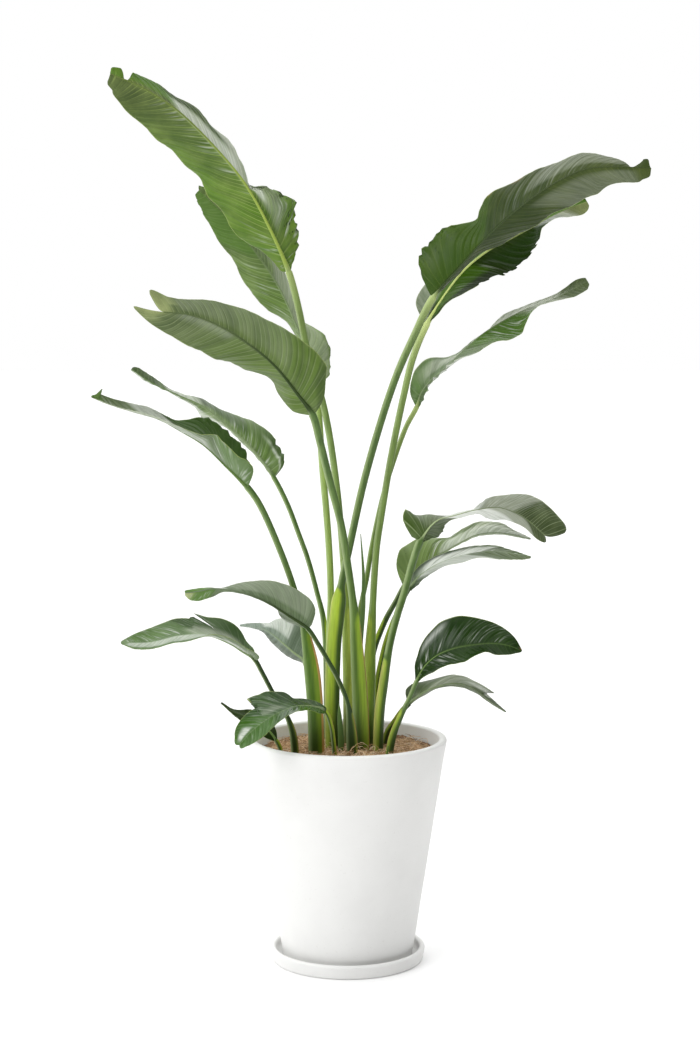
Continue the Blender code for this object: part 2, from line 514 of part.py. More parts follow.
def shoot_rings(shoot, grow=0.0, top=math.inf):
    x, y = shoot.base
    points = [(x, y, ROOTED / MM)] + shoot.route
    route = Route([(Vector(point) * MM)[:] for point in points])
    rings = []
    marks = [route.distance_of(index) for index in range(len(points))]
    for place in np.linspace(0, len(points) - 1, 2 * len(points) - 1):
        distance = np.interp(place, range(len(points)), marks)
        radius = np.interp(place, range(len(points)), shoot.radii) * MM + grow
        centre = route.at(distance)
        rings.append(round_ring(centre, route.along(distance), AWAY, LEFT, radius, SHOOT_SIDES))
        if centre[2] > top:
            break
    return rings


def new_material(name, colour, roughness):
    material = bpy.data.materials.new(name)
    material.use_nodes = True
    shader = material.node_tree.nodes["Principled BSDF"]
    shader.inputs["Base Color"].default_value = (*colour, 1.0)
    shader.inputs["Roughness"].default_value = roughness
    shader.inputs["Metallic"].default_value = 0.0
    material.diffuse_color = (*colour, 1.0)
    return material


def add_object(name, mesh, material, collection):
    made = bpy.data.objects.new(name, mesh)
    if material:
        mesh.materials.append(material)
    collection.objects.link(made)
    return made


def arc(centre_radius, centre_height, size, start, end, steps):
    """Points of a profile's rounding, from the start angle to the end angle in degrees."""
    angles = [math.radians(start + (end - start) * step / steps) for step in range(steps + 1)]
    return [(centre_radius + size * math.cos(a), centre_height + size * math.sin(a)) for a in angles]


def turned(name, profile, material, collection, steps=TURNED_STEPS):
    """A body turned from a closed profile of (radius, height), running down its outer side."""
    mesh = bpy.data.meshes.new(name)
    points = [(radius, 0.0, height) for radius, height in profile]
    edges = [(i, (i + 1) % len(points)) for i in range(len(points))]
    mesh.from_pydata(points, edges, [])
    made = add_object(name, mesh, material, collection)
    screw = made.modifiers.new("Turn", "SCREW")
    screw.steps = steps
    screw.render_steps = steps
    screw.use_merge_vertices = True
    screw.merge_threshold = 0.00005
    return made


def pot_outer_radius(height):
    share = (height - POT_BOTTOM) / (RIM_TOP - POT_BOTTOM)
    return POT_BASE_RADIUS + (RIM_RADIUS - POT_BASE_RADIUS) * share


def pot_inner_radius(height):
    return pot_outer_radius(height) - POT_WALL


def make_pot(material, collection):
    lip_outer = arc(RIM_RADIUS - LIP_ROUNDING, RIM_TOP - LIP_ROUNDING, LIP_ROUNDING, 90, 0, 4)
    foot = arc(POT_BASE_RADIUS - FOOT_ROUNDING, POT_BOTTOM + FOOT_ROUNDING, FOOT_ROUNDING, 0, -90, 2)
    inside = POT_BOTTOM + POT_FLOOR
    lip_inner = arc(RIM_RADIUS - LIP_WIDTH + LIP_ROUNDING, RIM_TOP - LIP_ROUNDING, LIP_ROUNDING, 180, 90, 3)
    profile = lip_outer + foot
    profile += [(DRAIN_RADIUS, POT_BOTTOM), (DRAIN_RADIUS, inside), (pot_inner_radius(inside), inside),
                (pot_inner_radius(MULCH_TOP), MULCH_TOP)]
    profile += lip_inner[:-1]
    return turned("pot", profile, material, collection)


def make_saucer(material, collection):
    rounding = SAUCER_LIP / 2
    inner = SAUCER_RADIUS - SAUCER_LIP
    profile = arc(SAUCER_RADIUS - rounding, SAUCER_HEIGHT - rounding, rounding, 90, 0, 4)
    profile += arc(SAUCER_FOOT_RADIUS - FOOT_ROUNDING, FOOT_ROUNDING, FOOT_ROUNDING, 0, -90, 2)
    profile += [(0.0, 0.0), (0.0, SAUCER_FLOOR), (inner - rounding, SAUCER_FLOOR), (inner, SAUCER_FLOOR + rounding)]
    profile += arc(inner + rounding, SAUCER_HEIGHT - rounding, rounding, 180, 90, 3)[:-1]
    return turned("saucer", profile, material, collection)


def make_soil(material, collection):
    bottom = POT_BOTTOM + POT_FLOOR + CLEARANCE
    mesh = bpy.data.meshes.new("soil")
    work = bmesh.new()
    bmesh.ops.create_cone(work, cap_ends=True, segments=SOIL_STEPS,
                          radius1=pot_inner_radius(bottom) - 3 * CLEARANCE,
                          radius2=pot_inner_radius(SOIL_TOP) - 3 * CLEARANCE, depth=SOIL_TOP - bottom)
    bmesh.ops.translate(work, verts=work.verts, vec=(0, 0, (SOIL_TOP + bottom) / 2))
    work.to_mesh(mesh)
    work.free()
    return add_object("soil", mesh, material, collection)


def mulch_height(x, y):
    """Relief of the matted fibres: a mound among the stalks and a grain of tufts."""
    spread = (x * x + y * y) / pot_inner_radius(MULCH_TOP) ** 2
    grain = noise.fractal(Vector((x, y, 0.3)) * MULCH_GRAIN, 1.0, 2.0, 3)
    return MULCH_TOP + MULCH_MOUND * (1 - spread) + MULCH_RELIEF * grain


def make_mulch(material, collection):
    bottom = SOIL_TOP + CLEARANCE
    edge = pot_inner_radius(bottom) - 3 * CLEARANCE
    rows = MULCH_ROWS
    profile = [(edge * row / rows, MULCH_TOP) for row in range(rows + 1)]
    profile += [(edge, bottom), (0.0, bottom)]
    made = turned("coir_mulch", profile, material, collection, SOIL_STEPS)
    bpy.context.view_layer.update()
    mesh = bpy.data.meshes.new_from_object(made.evaluated_get(bpy.context.evaluated_depsgraph_get()))
    made.modifiers.clear()
    made.data = mesh
    for vertex in mesh.vertices:
        x, y, z = vertex.co
        if z > SOIL_TOP + MULCH_DEPTH / 2:
            vertex.co.z = mulch_height(x, y)
    return made


def cut_holes(bodies, cutters):
    for body in bodies:
        cut = body.modifiers.new("Stalk holes", "BOOLEAN")
        cut.operation = "DIFFERENCE"
        cut.operand_type = "COLLECTION"
        cut.collection = cutters
        cut.solver = "EXACT"


def new_collection(name, hidden=False):
    made = bpy.data.collections.new(name)
    bpy.context.scene.collection.children.link(made)
    made.hide_render = hidden
    return made


def build():
    for old in list(bpy.data.objects):
        bpy.data.objects.remove(old)
    collection = new_collection("potted_white_bird_of_paradise")
    cutters = new_collection("stalk_hole_cutters", hidden=True)
    white = new_material("matte_white_pot", (0.86, 0.86, 0.85), 0.55)
    saucer_white = new_material("matte_white_saucer", (0.86, 0.86, 0.85), 0.5)
    earth = new_material("potting_soil", (0.05, 0.035, 0.025), 0.95)
    coir = new_material("coir_fibre", (0.42, 0.26, 0.14), 0.95)
    make_saucer(saucer_white, collection)
    make_pot(white, collection)
    bodies = [make_soil(earth, collection), make_mulch(coir, collection)]
    for leaf in LEAVES:
        green = new_material(leaf.name + "_green", (0.10, 0.22, 0.05), 0.4)
        add_object(leaf.name, loft(leaf.name, leaf_rings(leaf)), green, collection)
        hole = hole_rings(stalk_rings(leaf, HOLE_CLEARANCE, HOLE_TOP))
        add_object(leaf.name + "_hole", loft(leaf.name + "_hole", hole), None, cutters)
    for shoot in SHOOTS:
        pale = new_material(shoot.name + "_green", (0.30, 0.45, 0.10), 0.4)
        add_object(shoot.name, loft(shoot.name, shoot_rings(shoot)), pale, collection)
        hole = hole_rings(shoot_rings(shoot, HOLE_CLEARANCE, HOLE_TOP))
        add_object(shoot.name + "_hole", loft(shoot.name + "_hole", hole), None, cutters)
    for cutter in cutters.objects:
        cutter.hide_render = True
        cutter.display_type = "WIRE"
    cut_holes(bodies, cutters)


build()
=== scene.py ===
"""The finished looks of a potted giant white bird of paradise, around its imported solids.

The file is laid out as an add-on and run as a script: one operator makes each group of pieces, and main()
calls them in order. Metres, +Z up, origin at the centre of the saucer's underside. The plant is spread in
the XZ plane and seen from -Y.
"""

from dataclasses import dataclass
import math

import bpy
import numpy as np
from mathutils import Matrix, Vector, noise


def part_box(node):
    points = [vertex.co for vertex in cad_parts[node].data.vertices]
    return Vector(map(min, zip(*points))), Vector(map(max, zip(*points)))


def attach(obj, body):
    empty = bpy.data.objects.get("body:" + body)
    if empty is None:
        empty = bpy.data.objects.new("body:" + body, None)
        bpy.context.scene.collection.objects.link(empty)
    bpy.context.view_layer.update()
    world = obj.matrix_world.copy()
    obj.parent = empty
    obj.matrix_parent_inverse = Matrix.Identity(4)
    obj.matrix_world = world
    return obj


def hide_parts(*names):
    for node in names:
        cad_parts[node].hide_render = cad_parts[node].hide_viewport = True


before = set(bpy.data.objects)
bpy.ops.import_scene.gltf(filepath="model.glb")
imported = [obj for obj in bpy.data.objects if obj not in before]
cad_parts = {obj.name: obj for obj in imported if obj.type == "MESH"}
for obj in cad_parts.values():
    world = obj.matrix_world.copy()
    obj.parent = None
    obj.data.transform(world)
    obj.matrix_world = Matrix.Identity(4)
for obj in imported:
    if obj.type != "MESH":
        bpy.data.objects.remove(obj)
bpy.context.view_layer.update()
POT_LOW, POT_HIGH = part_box("pot")
SAUCER_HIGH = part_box("saucer")[1]
MULCH_LOW, MULCH_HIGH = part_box("coir_mulch")

bl_info = {
    "name": "Potted White Bird of Paradise",
    "version": (1, 0, 0),
    "blender": (4, 5, 0),
    "location": "View3D > Sidebar > Potted Plant",
    "description": "Makes the leaves, shoots, coir, pot and saucer of a potted giant white bird of paradise",
    "category": "Object",
}

MM = 0.001
TURN = 2 * math.pi
BODY = "root"

AWAY = (0.0, 1.0, 0.0)
LEFT = 1
RIGHT = -1
UNDERSIDE = -1
UPPER_FACE = 1
ABOVE_RIB = 1
BELOW_RIB = -1

MULCH_TOP = 0.374
ROOTED = 0.325
SHEATH = (630, 250)

# Shape of the blades, shared with the solids
RIB_RADIUS_AT_STALK = 0.0045
RIB_RADIUS_AT_TIP = 0.0012
STALK_DEPTH_SHARE = 0.8
BULGE_SHARE = 0.07
RIPPLE_LENGTH = 0.075
RIPPLE_SHARE = 0.045
ALONG_POWER = 0.6

# Detail of the blades that only the finished pieces have
FRAME_SAMPLES = 400
BLADE_HALF_MIDDLE = 0.00045
BLADE_HALF_EDGE = 0.00022
ACROSS_PLACES = (0.0, 0.05, 0.12, 0.21, 0.32, 0.44, 0.56, 0.68, 0.79, 0.88, 0.95, 1.0)
VEIN_CURVE = 1.15
VEIN_SMOOTHING = 0.06
VEINS_OPEN_BY = 0.16
LEAST_SPREAD = 0.4
TIP_CORNERS = 0.3
TIP_ROUNDING = 0.035
TIP_PUSH_FROM = 0.975
VEIN_SPACING = 0.0095
VEIN_SWAY = 0.0040
VEIN_SWAY_LENGTH = 0.022
PLEAT_DEPTH = 0.00045
PLEAT_SHARE = 0.45
SECOND_PLEAT_SHARE = 0.75
PLEATS_OPEN = (0.04, 0.2)
PLEATS_FLATTEN = (0.8, 1.0)
FLATTER_MARGIN = 0.6
CRUMPLE_LENGTH = 0.008
CRUMPLE_SEED = 7
SMALL_RIPPLE_LENGTH = RIPPLE_LENGTH * 0.31
SMALL_RIPPLE_SHARE = 0.12
SMALL_RIPPLE_START = 2.1
FRILL_LENGTH = 0.016
FRILL_FADE = 0.03
FRILL_SECOND_SHARE = 0.6
FRILL_SECOND_PACE = 1.7
FRILL_SECOND_START = 1.3
TOOTH_LENGTH = 0.007
RAGGED_FADE = 0.01

# How softly a painted patch ends along the rib and across it
PATCH_FADE = 0.03
INNER_FADE = 0.05
OUTER_FADE = 0.1
GLEAM_FADE = 0.35

# Stalks, ribs and shoots
TUBE_SIDES = 26
TUBE_ANGLES = np.linspace(0, TURN, TUBE_SIDES, endpoint=False)
STALK_RING_STEP = 0.008
SHOOT_RING_STEP = 0.005
WING_POWER = 5
CORE_SWELL = 0.35
RIB_TAPER_POWER = 0.7
RIB_ROUNDNESS = 0.85
RIB_TIP_SHARE = 0.3
RIB_STANDS_OUT = 0.5
WING_FULL_BY = 0.25
COLLAR_BELOW = 0.05
COLLAR_ABOVE = 0.03
UPPER_FACE_SEED = 40
SEAM_WINDING = 9
SEAM_STEP = 0.14
SEAM_PALE_FROM = 0.94
SEAM_PALENESS = 0.6

# Pot, saucer, coir and studio
POT_WALL_STEPS = 12
FOOT_ARC_STEPS = 6
SAUCER_MIDDLE = 0.02
SAUCER_SMOOTHER = 0.04
MAT_RINGS = 56
MAT_STEPS = 180
TUFTS_PER_METRE = 38.0
NAP_PER_METRE = 160.0
BED_RINGS = 8
BED_STEPS = 40
SENSOR_WIDTH = 36.0
KEY_LIGHT_PLACE = (-2.4, -2.5, 2.7)
KEY_LIGHT_TARGET = (0.0, 0.0, 0.8)
KEY_LIGHT_SIZE = 2.0

# Each scatter of strands: name, centre, radius, thickness beside the usual, seed offset, other inputs
SCATTERS = (
    ("coir_strands_flat", (0.0, 0.0), 0.136, 1.0, 0,
     {"Density": 36000.0, "Arc radius": 0.014, "Tilt": 0.22, "Waviness": 0.003, "Points": 9}),
    ("coir_curls_front", (0.006, -0.100), 0.040, 1.25, 20,
     {"Density": 75000.0, "Arc radius": 0.0095, "Tilt": 1.1, "Waviness": 0.0018, "Points": 17}),
    ("coir_curls_loose", (0.0, -0.02), 0.118, 1.0, 40,
     {"Density": 6000.0, "Arc radius": 0.013, "Tilt": 0.9, "Waviness": 0.0025, "Points": 13}),
)


@dataclass
class Leaf:
    """One leaf. Points are millimetres. A half's rows are (share of the rib, offset up across the rib,
    offset away from the viewer, offset along the rib) of its edge."""

    name: str
    lean: int
    shows: int
    base: tuple
    stalk: list
    rib: list
    upper: list
    lower: list
    top_radius: float = 6
    base_radius: float = 11
    sheath: tuple = SHEATH
    away: tuple = AWAY


LEAVES = [
    Leaf("leaf_left_top", LEFT, UNDERSIDE, (4, 28),
         [(3, 35, 530), (-6, 40, 685), (-19, 40, 835), (-40, 30, 970), (-72, 10, 1085), (-84, 0, 1145)],
         [(-101, -10, 1210), (-132, -30, 1282), (-172, -50, 1355), (-228, -75, 1422), (-286, -100, 1477),
          (-337, -120, 1509), (-380, -140, 1526)],
         [(0, 3, 2), (.035, 15, 6), (.06, 28, 12), (.085, 36, 16), (.11, 44, 20), (.16, 46, 22),
          (.20, 55, 20), (.228, 63, 19), (.245, 54, 18), (.285, 42, 14), (.305, 34, 12), (.33, 23, 10),
          (.34, 13, 6), (.35, 2, 4), (.36, 4, 16), (.39, 12, 38), (.42, 19, 46), (.50, 24, 55),
          (.60, 24, 55), (.70, 23, 45), (.80, 18, 35), (.90, 18, 20), (.94, 17, 10), (.952, 2, 2),
          (.965, -3, 2), (.975, 7, 3), (.99, 15, 3, 2), (1, 12, 2, 2)],
         [(0, 0, 2), (.02, -12, 6, -4), (.06, -18, 14, -4), (.10, -28, 25), (.15, -46, 30), (.20, -56, 32),
          (.30, -60, 35), (.40, -62, 40), (.50, -55, 45), (.60, -56, 42), (.70, -58, 35), (.80, -54, 25),
          (.90, -45, 15, 4), (.95, -36, 9, 3), (.98, -29, 6, 2), (1, -19, 4, -1)],
         base_radius=12, sheath=(640, 120)),
    Leaf("leaf_left_top_behind", LEFT, UNDERSIDE, (-30, 52),
         [(-31, 55, 560), (-30, 58, 650), (-33, 62, 725), (-38, 66, 793), (-44, 68, 860), (-52, 73, 973)],
         [(-57, 76, 1014), (-75, 80, 1076), (-92, 85, 1123), (-127, 90, 1196), (-169, 95, 1256),
          (-217, 100, 1314), (-263, 105, 1358)],
         [(0, 5, 2), (.03, 30, 8), (.06, 35, 12), (.10, 40, 14), (.15, 44, 14), (.19, 42, 15),
          (.24, 28, 18), (.30, 10, 26), (.36, 16, 45), (.60, 21, 50), (.80, 20, 35), (.90, 16, 20),
          (.97, 14, 8, 4), (1, 8, 4, 8)],
         [(0, 0, 2), (.10, -4, 25), (.20, -5, 50), (.30, -15, 55), (.40, -36, 45), (.50, -49, 40),
          (.60, -46, 40), (.70, -41, 35), (.80, -38, 25), (.90, -29, 15), (1, -15, 4)],
         base_radius=10),
    Leaf("leaf_left_centre", LEFT, UNDERSIDE, (25, -30),
         [(21, -32, 486), (15, -35, 574), (11, -38, 628), (0, -43, 709), (-11, -50, 777), (-29, -65, 848),
          (-47, -85, 923)],
         [(-59, -100, 968), (-81, -115, 1000), (-121, -140, 1051), (-167, -170, 1090), (-212, -195, 1118),
          (-257, -220, 1135), (-297, -240, 1139)],
         [(0, 5, 2), (.03, 29, 10), (.06, 42, 16), (.10, 56, 22), (.15, 68, 25), (.20, 68, 27),
          (.30, 60, 30), (.40, 56, 30), (.50, 47, 32), (.60, 44, 30), (.70, 35, 28), (.80, 29, 22),
          (.90, 23, 15, 2), (.96, 25, 10, 4), (.98, 31, 7, 15), (1, 38, 5, 31)],
         [(0, -4, 2), (.03, -20, 12), (.06, -27, 22), (.10, -27, 34), (.20, -24, 56), (.30, -33, 55),
          (.40, -41, 50), (.50, -49, 45), (.60, -52, 38), (.70, -53, 32), (.80, -48, 25, 3),
          (.90, -37, 15, 14), (.95, -21, 8, 32), (1, 8, 2, 57)],
         top_radius=6.5, base_radius=14, sheath=(650, 210)),
    Leaf("leaf_left_middle_behind", LEFT, UNDERSIDE, (-36, 88),
         [(-42, 92, 583), (-56, 100, 644), (-72, 110, 701), (-88, 120, 744), (-109, 130, 798)],
         [(-134, 140, 846), (-154, 145, 874), (-180, 150, 904), (-221, 160, 940), (-262, 170, 972),
          (-309, 180, 993), (-361, 190, 1017), (-396, 200, 1040)],
         [(0, 5, 4), (.03, 28, 15), (.06, 37, 22), (.10, 40, 28), (.15, 40, 33), (.20, 40, 36),
          (.30, 37, 40), (.40, 21, 48), (.50, 12, 50), (.60, 8, 42), (.70, 3, 32), (.76, 3, 26),
          (.82, 6, 18), (.91, 10, 11), (.97, 10, 6), (1, 6, 2)],
         [(0, -2, 4), (.10, -5, 40), (.20, -6, 55), (.30, -5, 60), (.40, -6, 58), (.50, -18, 50),
          (.55, -24, 42), (.60, -13, 38), (.70, -4, 28), (.80, -2, 18), (.90, -4, 10), (1, -3, 2)],
         top_radius=4.5, base_radius=7),
    Leaf("leaf_left_middle", LEFT, UPPER_FACE, (-54, -45),
         [(-57, -50, 472), (-63, -55, 534), (-73, -62, 592), (-90, -70, 662), (-114, -80, 733),
          (-150, -95, 817)],
         [(-170, -100, 846), (-205, -115, 883), (-241, -130, 919), (-278, -145, 943), (-313, -160, 963),
          (-354, -175, 976), (-393, -190, 989), (-420, -200, 1001)],
         [(0, 3, 3), (.035, 16, 14), (.06, 29, 25), (.10, 38, 35), (.13, 41, 40), (.20, 39, 45),
          (.28, 42, 45), (.33, 43, 44), (.38, 36, 42), (.42, 26, 38), (.46, 17, 32), (.53, 9, 26),
          (.60, 9, 20), (.70, 13, 15), (.80, 12, 12), (.90, 10, 8), (.955, 10, 7), (.965, 20, 6, -2),
          (.98, 7, 4), (1, 3, 2)],
         [(0, 1, -4), (.03, 15, -14), (.06, 26, -25), (.10, 34, -34), (.14, 36, -37), (.19, 31, -40),
          (.24, 28, -42), (.31, 27, -41), (.345, 31, -39), (.36, 28, -38), (.41, 16, -34), (.46, 10, -30),
          (.50, 7, -26), (.60, 4, -18), (.70, 3, -14), (.80, 2, -12), (.90, 1, -8), (1, 0, -2)],
         top_radius=5.5, base_radius=14, sheath=(610, 110)),
    Leaf("leaf_left_low_front", LEFT, UNDERSIDE, (9, -72),
         [(1, -82, 467), (-16, -93, 515), (-37, -106, 556), (-52, -115, 583)],
         [(-67, -125, 607), (-98, -145, 632), (-141, -170, 662), (-184, -190, 679), (-222, -205, 685),
          (-246, -215, 682), (-267, -220, 680)],
         [(0, 10, 4), (.03, 30, 12), (.06, 37, 18), (.10, 41, 24), (.15, 42, 27), (.20, 41, 30),
          (.30, 34, 35), (.40, 28, 35), (.50, 19, 32), (.60, 9, 25), (.68, 3, 16), (.74, 0, 12),
          (.80, 1, 10), (.90, 4, 8), (1, 4, 2)],
         [(0, -2, 3), (.05, -10, 20), (.10, -15, 35), (.15, -13, 42), (.20, -6, 48), (.30, -4, 48),
          (.50, -3, 38), (.60, -4, 25), (.70, -5, 12), (.80, -15, 9), (.90, -17, 8), (.96, -14, 5),
          (1, -5, 2)],
         top_radius=4, base_radius=10, sheath=(470, 80)),
    Leaf("leaf_left_low_behind", LEFT, UPPER_FACE, (-91, -52),
         [(-95, -58, 416), (-106, -66, 449), (-117, -73, 471), (-128, -80, 489), (-145, -90, 524)],
         [(-160, -98, 552), (-180, -105, 567), (-199, -110, 580), (-238, -120, 596), (-283, -130, 596),
          (-333, -140, 586), (-381, -150, 587)],
         [(0, 3, 3), (.03, 11, 12), (.06, 13, 18), (.10, 16, 24), (.15, 21, 30), (.20, 25, 34),
          (.30, 27, 36), (.38, 26, 34), (.43, 30, 32, 2), (.458, 33, 30, 8), (.472, 25, 28, 4),
          (.49, 23, 28), (.52, 24, 28), (.60, 26, 25), (.70, 25, 22), (.80, 21, 16), (.90, 14, 10),
          (1, 2, 2)],
         [(0, 2, -6, -4), (.03, 9, -16, -8), (.08, 12, -26, -4), (.20, 14, -32), (.35, 8, -33),
          (.50, -3, -32), (.60, -8, -28), (.70, -8, -24), (.80, -8, -18), (.90, -9, -12), (1, -2, -2)],
         top_radius=4, base_radius=7, sheath=(450, 70)),
    Leaf("leaf_left_over_rim", LEFT, UPPER_FACE, (-22, -84),
         [(-24, -88, 405), (-28, -92, 435)],
         [(-38, -100, 462), (-62, -120, 474), (-87, -140, 477), (-112, -160, 471), (-136, -180, 461),
          (-159, -195, 445), (-179, -210, 425)],
         [(0, 4, 3), (.10, 6, 12), (.20, 8, 16), (.29, 10, 20), (.32, 16, 22), (.36, 24, 24), (.45, 32, 24),
          (.53, 39, 22), (.58, 40, 20), (.615, 44, 18, 8), (.632, 45, 16, 14), (.642, 36, 14, 10),
          (.652, 25, 12, 2), (.70, 26, 12), (.75, 27, 10), (.82, 26, 8), (.90, 23, 6), (.97, 15, 4),
          (1, 7, 2, 5)],
         [(0, -5, -5), (.10, -8, -10), (.20, -6, -14), (.30, -5, -18), (.40, -5, -20), (.50, -7, -20),
          (.60, -11, -18), (.70, -15, -14), (.80, -18, -10), (.90, -16, -6), (1, -6, -2, 5)],
         top_radius=3.5, base_radius=4),
    Leaf("leaf_left_small", LEFT, UPPER_FACE, (-115, -55),
         [(-117, -55, 388)],
         [(-124, -55, 402), (-139, -52, 421), (-157, -48, 435), (-179, -42, 442), (-201, -36, 449),
          (-221, -30, 463)],
         [(0, 2, 2), (.10, 8, 8), (.25, 12, 14), (.40, 13, 16), (.55, 12, 12), (.70, 6, 8), (.85, 3, 4),
          (1, 2, 1)],
         [(0, -3, -2), (.10, -11, -6), (.25, -15, -10), (.40, -16, -10), (.55, -12, -8), (.70, -6, -5),
          (.85, -2, -2), (1, -1, -1)],
         top_radius=3, base_radius=4),
    Leaf("leaf_left_inner", LEFT, UNDERSIDE, (-63, 12),
         [(-65, 25, 448), (-70, 50, 481)],
         [(-77, 80, 517), (-98, 100, 532), (-117, 120, 545), (-139, 145, 559), (-156, 160, 566),
          (-178, 180, 567), (-200, 200, 566)],
         [(0, 4, 3), (.05, 15, 8), (.10, 22, 12), (.20, 30, 18), (.30, 36, 20), (.40, 41, 20),
          (.50, 39, 18), (.60, 28, 14), (.68, 11, 10), (.80, 7, 6), (.90, 5, 4), (1, 2, 1)],
         [(0, -3, 3), (.10, -10, 14), (.20, -13, 20), (.30, -17, 24), (.40, -20, 24), (.50, -19, 20),
          (.60, -14, 14), (.70, -9, 10), (.80, -5, 6), (1, -1, 1)],
         top_radius=3.5, base_radius=5),
    Leaf("leaf_right_top", RIGHT, UNDERSIDE, (-26, 2),
         [(-27, 0, 463), (-24, 0, 560), (-19, 0, 608), (-12, 0, 661), (3, 0, 732), (33, 0, 865),
          (82, -7, 1025), (115, -12, 1101)],
         [(147, -20, 1166), (191, -30, 1217), (241, -45, 1272), (294, -60, 1319), (347, -75, 1356),
          (396, -90, 1378), (442, -100, 1382), (497, -110, 1379)],
         [(0, 4, 3), (.03, 34, 12), (.06, 56, 18), (.10, 68, 24), (.15, 69, 26), (.20, 70, 26),
          (.25, 55, 26), (.325, 35, 30), (.355, 43, 34), (.41, 49, 36), (.50, 43, 40), (.60, 34, 42),
          (.70, 30, 40), (.80, 26, 32), (.88, 16, 18), (.93, 5, 8), (.945, -1, 5), (.965, 4, 3),
          (.985, 12, 3), (1, 19, 2, -7)],
         [(0, 0, 3), (.06, -7, 30), (.10, -6, 42), (.15, -6, 50), (.20, -9, 54), (.30, -23, 52),
          (.40, -36, 46), (.50, -41, 42), (.60, -45, 38), (.70, -47, 34), (.80, -42, 26), (.86, -29, 19),
          (.92, -25, 14), (.975, -23, 8), (1, -16, 3, -1)],
         top_radius=6.5, base_radius=13, sheath=(664, 34)),
    Leaf("leaf_right_top_behind", RIGHT, UPPER_FACE, (36, 10),
         [(38, 14, 477), (40, 18, 548), (44, 22, 620), (51, 28, 728), (59, 34, 782), (77, 42, 890),
          (99, 50, 997), (115, 56, 1062)],
         [(140, 64, 1122), (175, 76, 1178), (207, 85, 1218), (251, 95, 1253), (299, 105, 1278),
          (350, 115, 1305), (395, 122, 1327), (427, 128, 1339)],
         [(0, 4, 2), (.03, 22, 6), (.06, 34, 10), (.10, 39, 14), (.15, 40, 18), (.20, 36, 24),
          (.30, 31, 34), (.40, 32, 38), (.60, 34, 35), (.80, 28, 24), (.90, 19, 14), (.96, 13, 7),
          (1, 8, 3)],
         [(0, -1, -2), (.06, -8, -10), (.10, -10, -18), (.15, -15, -22), (.20, -23, -22), (.30, -38, -18),
          (.40, -46, -14), (.50, -56, -10), (.58, -50, -10), (.65, -38, -10), (.70, -26, -10),
          (.74, -10, -12), (.815, -5, -12), (.89, -15, -10), (.95, -19, -6), (.98, -16, -4),
          (1, -10, -3, 1)],
         sheath=(630, 150)),
    Leaf("leaf_right_twisted", RIGHT, UPPER_FACE, (-2, 66),
         [(4, 60, 466), (13, 60, 546), (23, 60, 617), (34, 62, 671), (43, 65, 726), (66, 72, 828),
          (92, 76, 909), (106, 79, 944)],
         [(123, 82, 975), (131, 84, 999), (147, 88, 1021), (169, 92, 1040), (205, 100, 1074),
          (246, 110, 1108), (318, 130, 1148), (383, 145, 1173), (431, 155, 1198)],
         [(0, 2, 3), (.03, 12, 8), (.06, 20, 14), (.10, 28, 20), (.13, 33, 26), (.16, 34, 32),
          (.21, 30, 38), (.28, 11, 42), (.35, 2, 40), (.42, -1, 36), (.50, 0, 32), (.56, 5, 26),
          (.62, 8, 22), (.72, 6, 16), (.79, 5, 12), (.84, 6, 9), (.90, 9, 7), (.96, 12, 5), (1, 9, 2)],
         [(0, -3, -3), (.05, -7, -20), (.12, -2, -34), (.20, 2, -38), (.27, -4, -38), (.34, -15, -36),
          (.40, -19, -32), (.48, -27, -26), (.53, -34, -22), (.60, -35, -18), (.64, -24, -17),
          (.70, -8, -16), (.75, -2, -14), (.80, -4, -12), (.87, -9, -10), (.925, -13, -8), (.98, -13, -4),
          (1, -8, -2)],
         top_radius=4.5, base_radius=8),
    Leaf("leaf_right_middle_front", RIGHT, UNDERSIDE, (53, -28),
         [(56, -30, 450), (62, -33, 495), (68, -37, 536), (75, -42, 575), (86, -50, 620), (99, -60, 664),
          (111, -70, 711)],
         [(124, -76, 750), (150, -30, 778), (190, 45, 784), (234, 100, 790), (276, 140, 790),
          (320, 170, 770), (362, 190, 735)],
         [(0, 16, 6), (.03, 47, 16), (.06, 50, 20), (.09, 32, 18), (.14, 20, 20), (.20, 11, 20),
          (.28, 4, 14), (.36, 2, 10), (.45, 2, 8), (.54, 2, 7), (.557, 7, 6), (.59, 13, 6), (.65, 18, 6),
          (.72, 24, 8), (.81, 39, 8), (.88, 50, 8), (.92, 54, 8), (.96, 52, 6, 4), (.98, 48, 4, 18),
          (1, 42, 2, 42)],
         [(0, -3, -3), (.06, -14, -12), (.10, -20, -14), (.15, -18, -14), (.20, -8, -14), (.25, -4, -12),
          (.35, -3, -10), (.45, -4, -10), (.53, -7, -14), (.555, -14, -18), (.59, -20, -22),
          (.70, -21, -20), (.80, -19, -16), (.90, -19, -10), (.97, -17, -6), (1, -12, -3, 10)],
         top_radius=7, base_radius=10, sheath=(560, 110), away=(-0.6, 0.8, 0.0)),
    Leaf("leaf_right_middle", RIGHT, UNDERSIDE, (18, 96),
         [(33, 92, 469), (48, 88, 542), (57, 86, 567), (71, 84, 599), (87, 82, 628)],
         [(102, 82, 656), (119, 90, 676), (149, 110, 698), (180, 135, 713), (207, 155, 726),
          (235, 175, 737), (272, 200, 739), (310, 220, 733), (341, 235, 724)],
         [(0, 5, 2), (.03, 19, 8), (.06, 30, 14), (.10, 39, 20), (.15, 46, 24), (.20, 45, 28),
          (.30, 41, 32), (.40, 27, 36), (.50, 15, 38), (.60, 13, 34), (.70, 20, 28), (.80, 17, 20),
          (.90, 7, 12), (1, 2, 2)],
         [(0, -3, 2), (.05, -5, 16), (.10, -3, 30), (.20, -2, 44), (.40, -2, 46), (.60, -5, 36),
          (.80, -4, 22), (1, -2, 2)],
         top_radius=4.5, base_radius=7),
    Leaf("leaf_right_pale", RIGHT, UPPER_FACE, (50, 58),
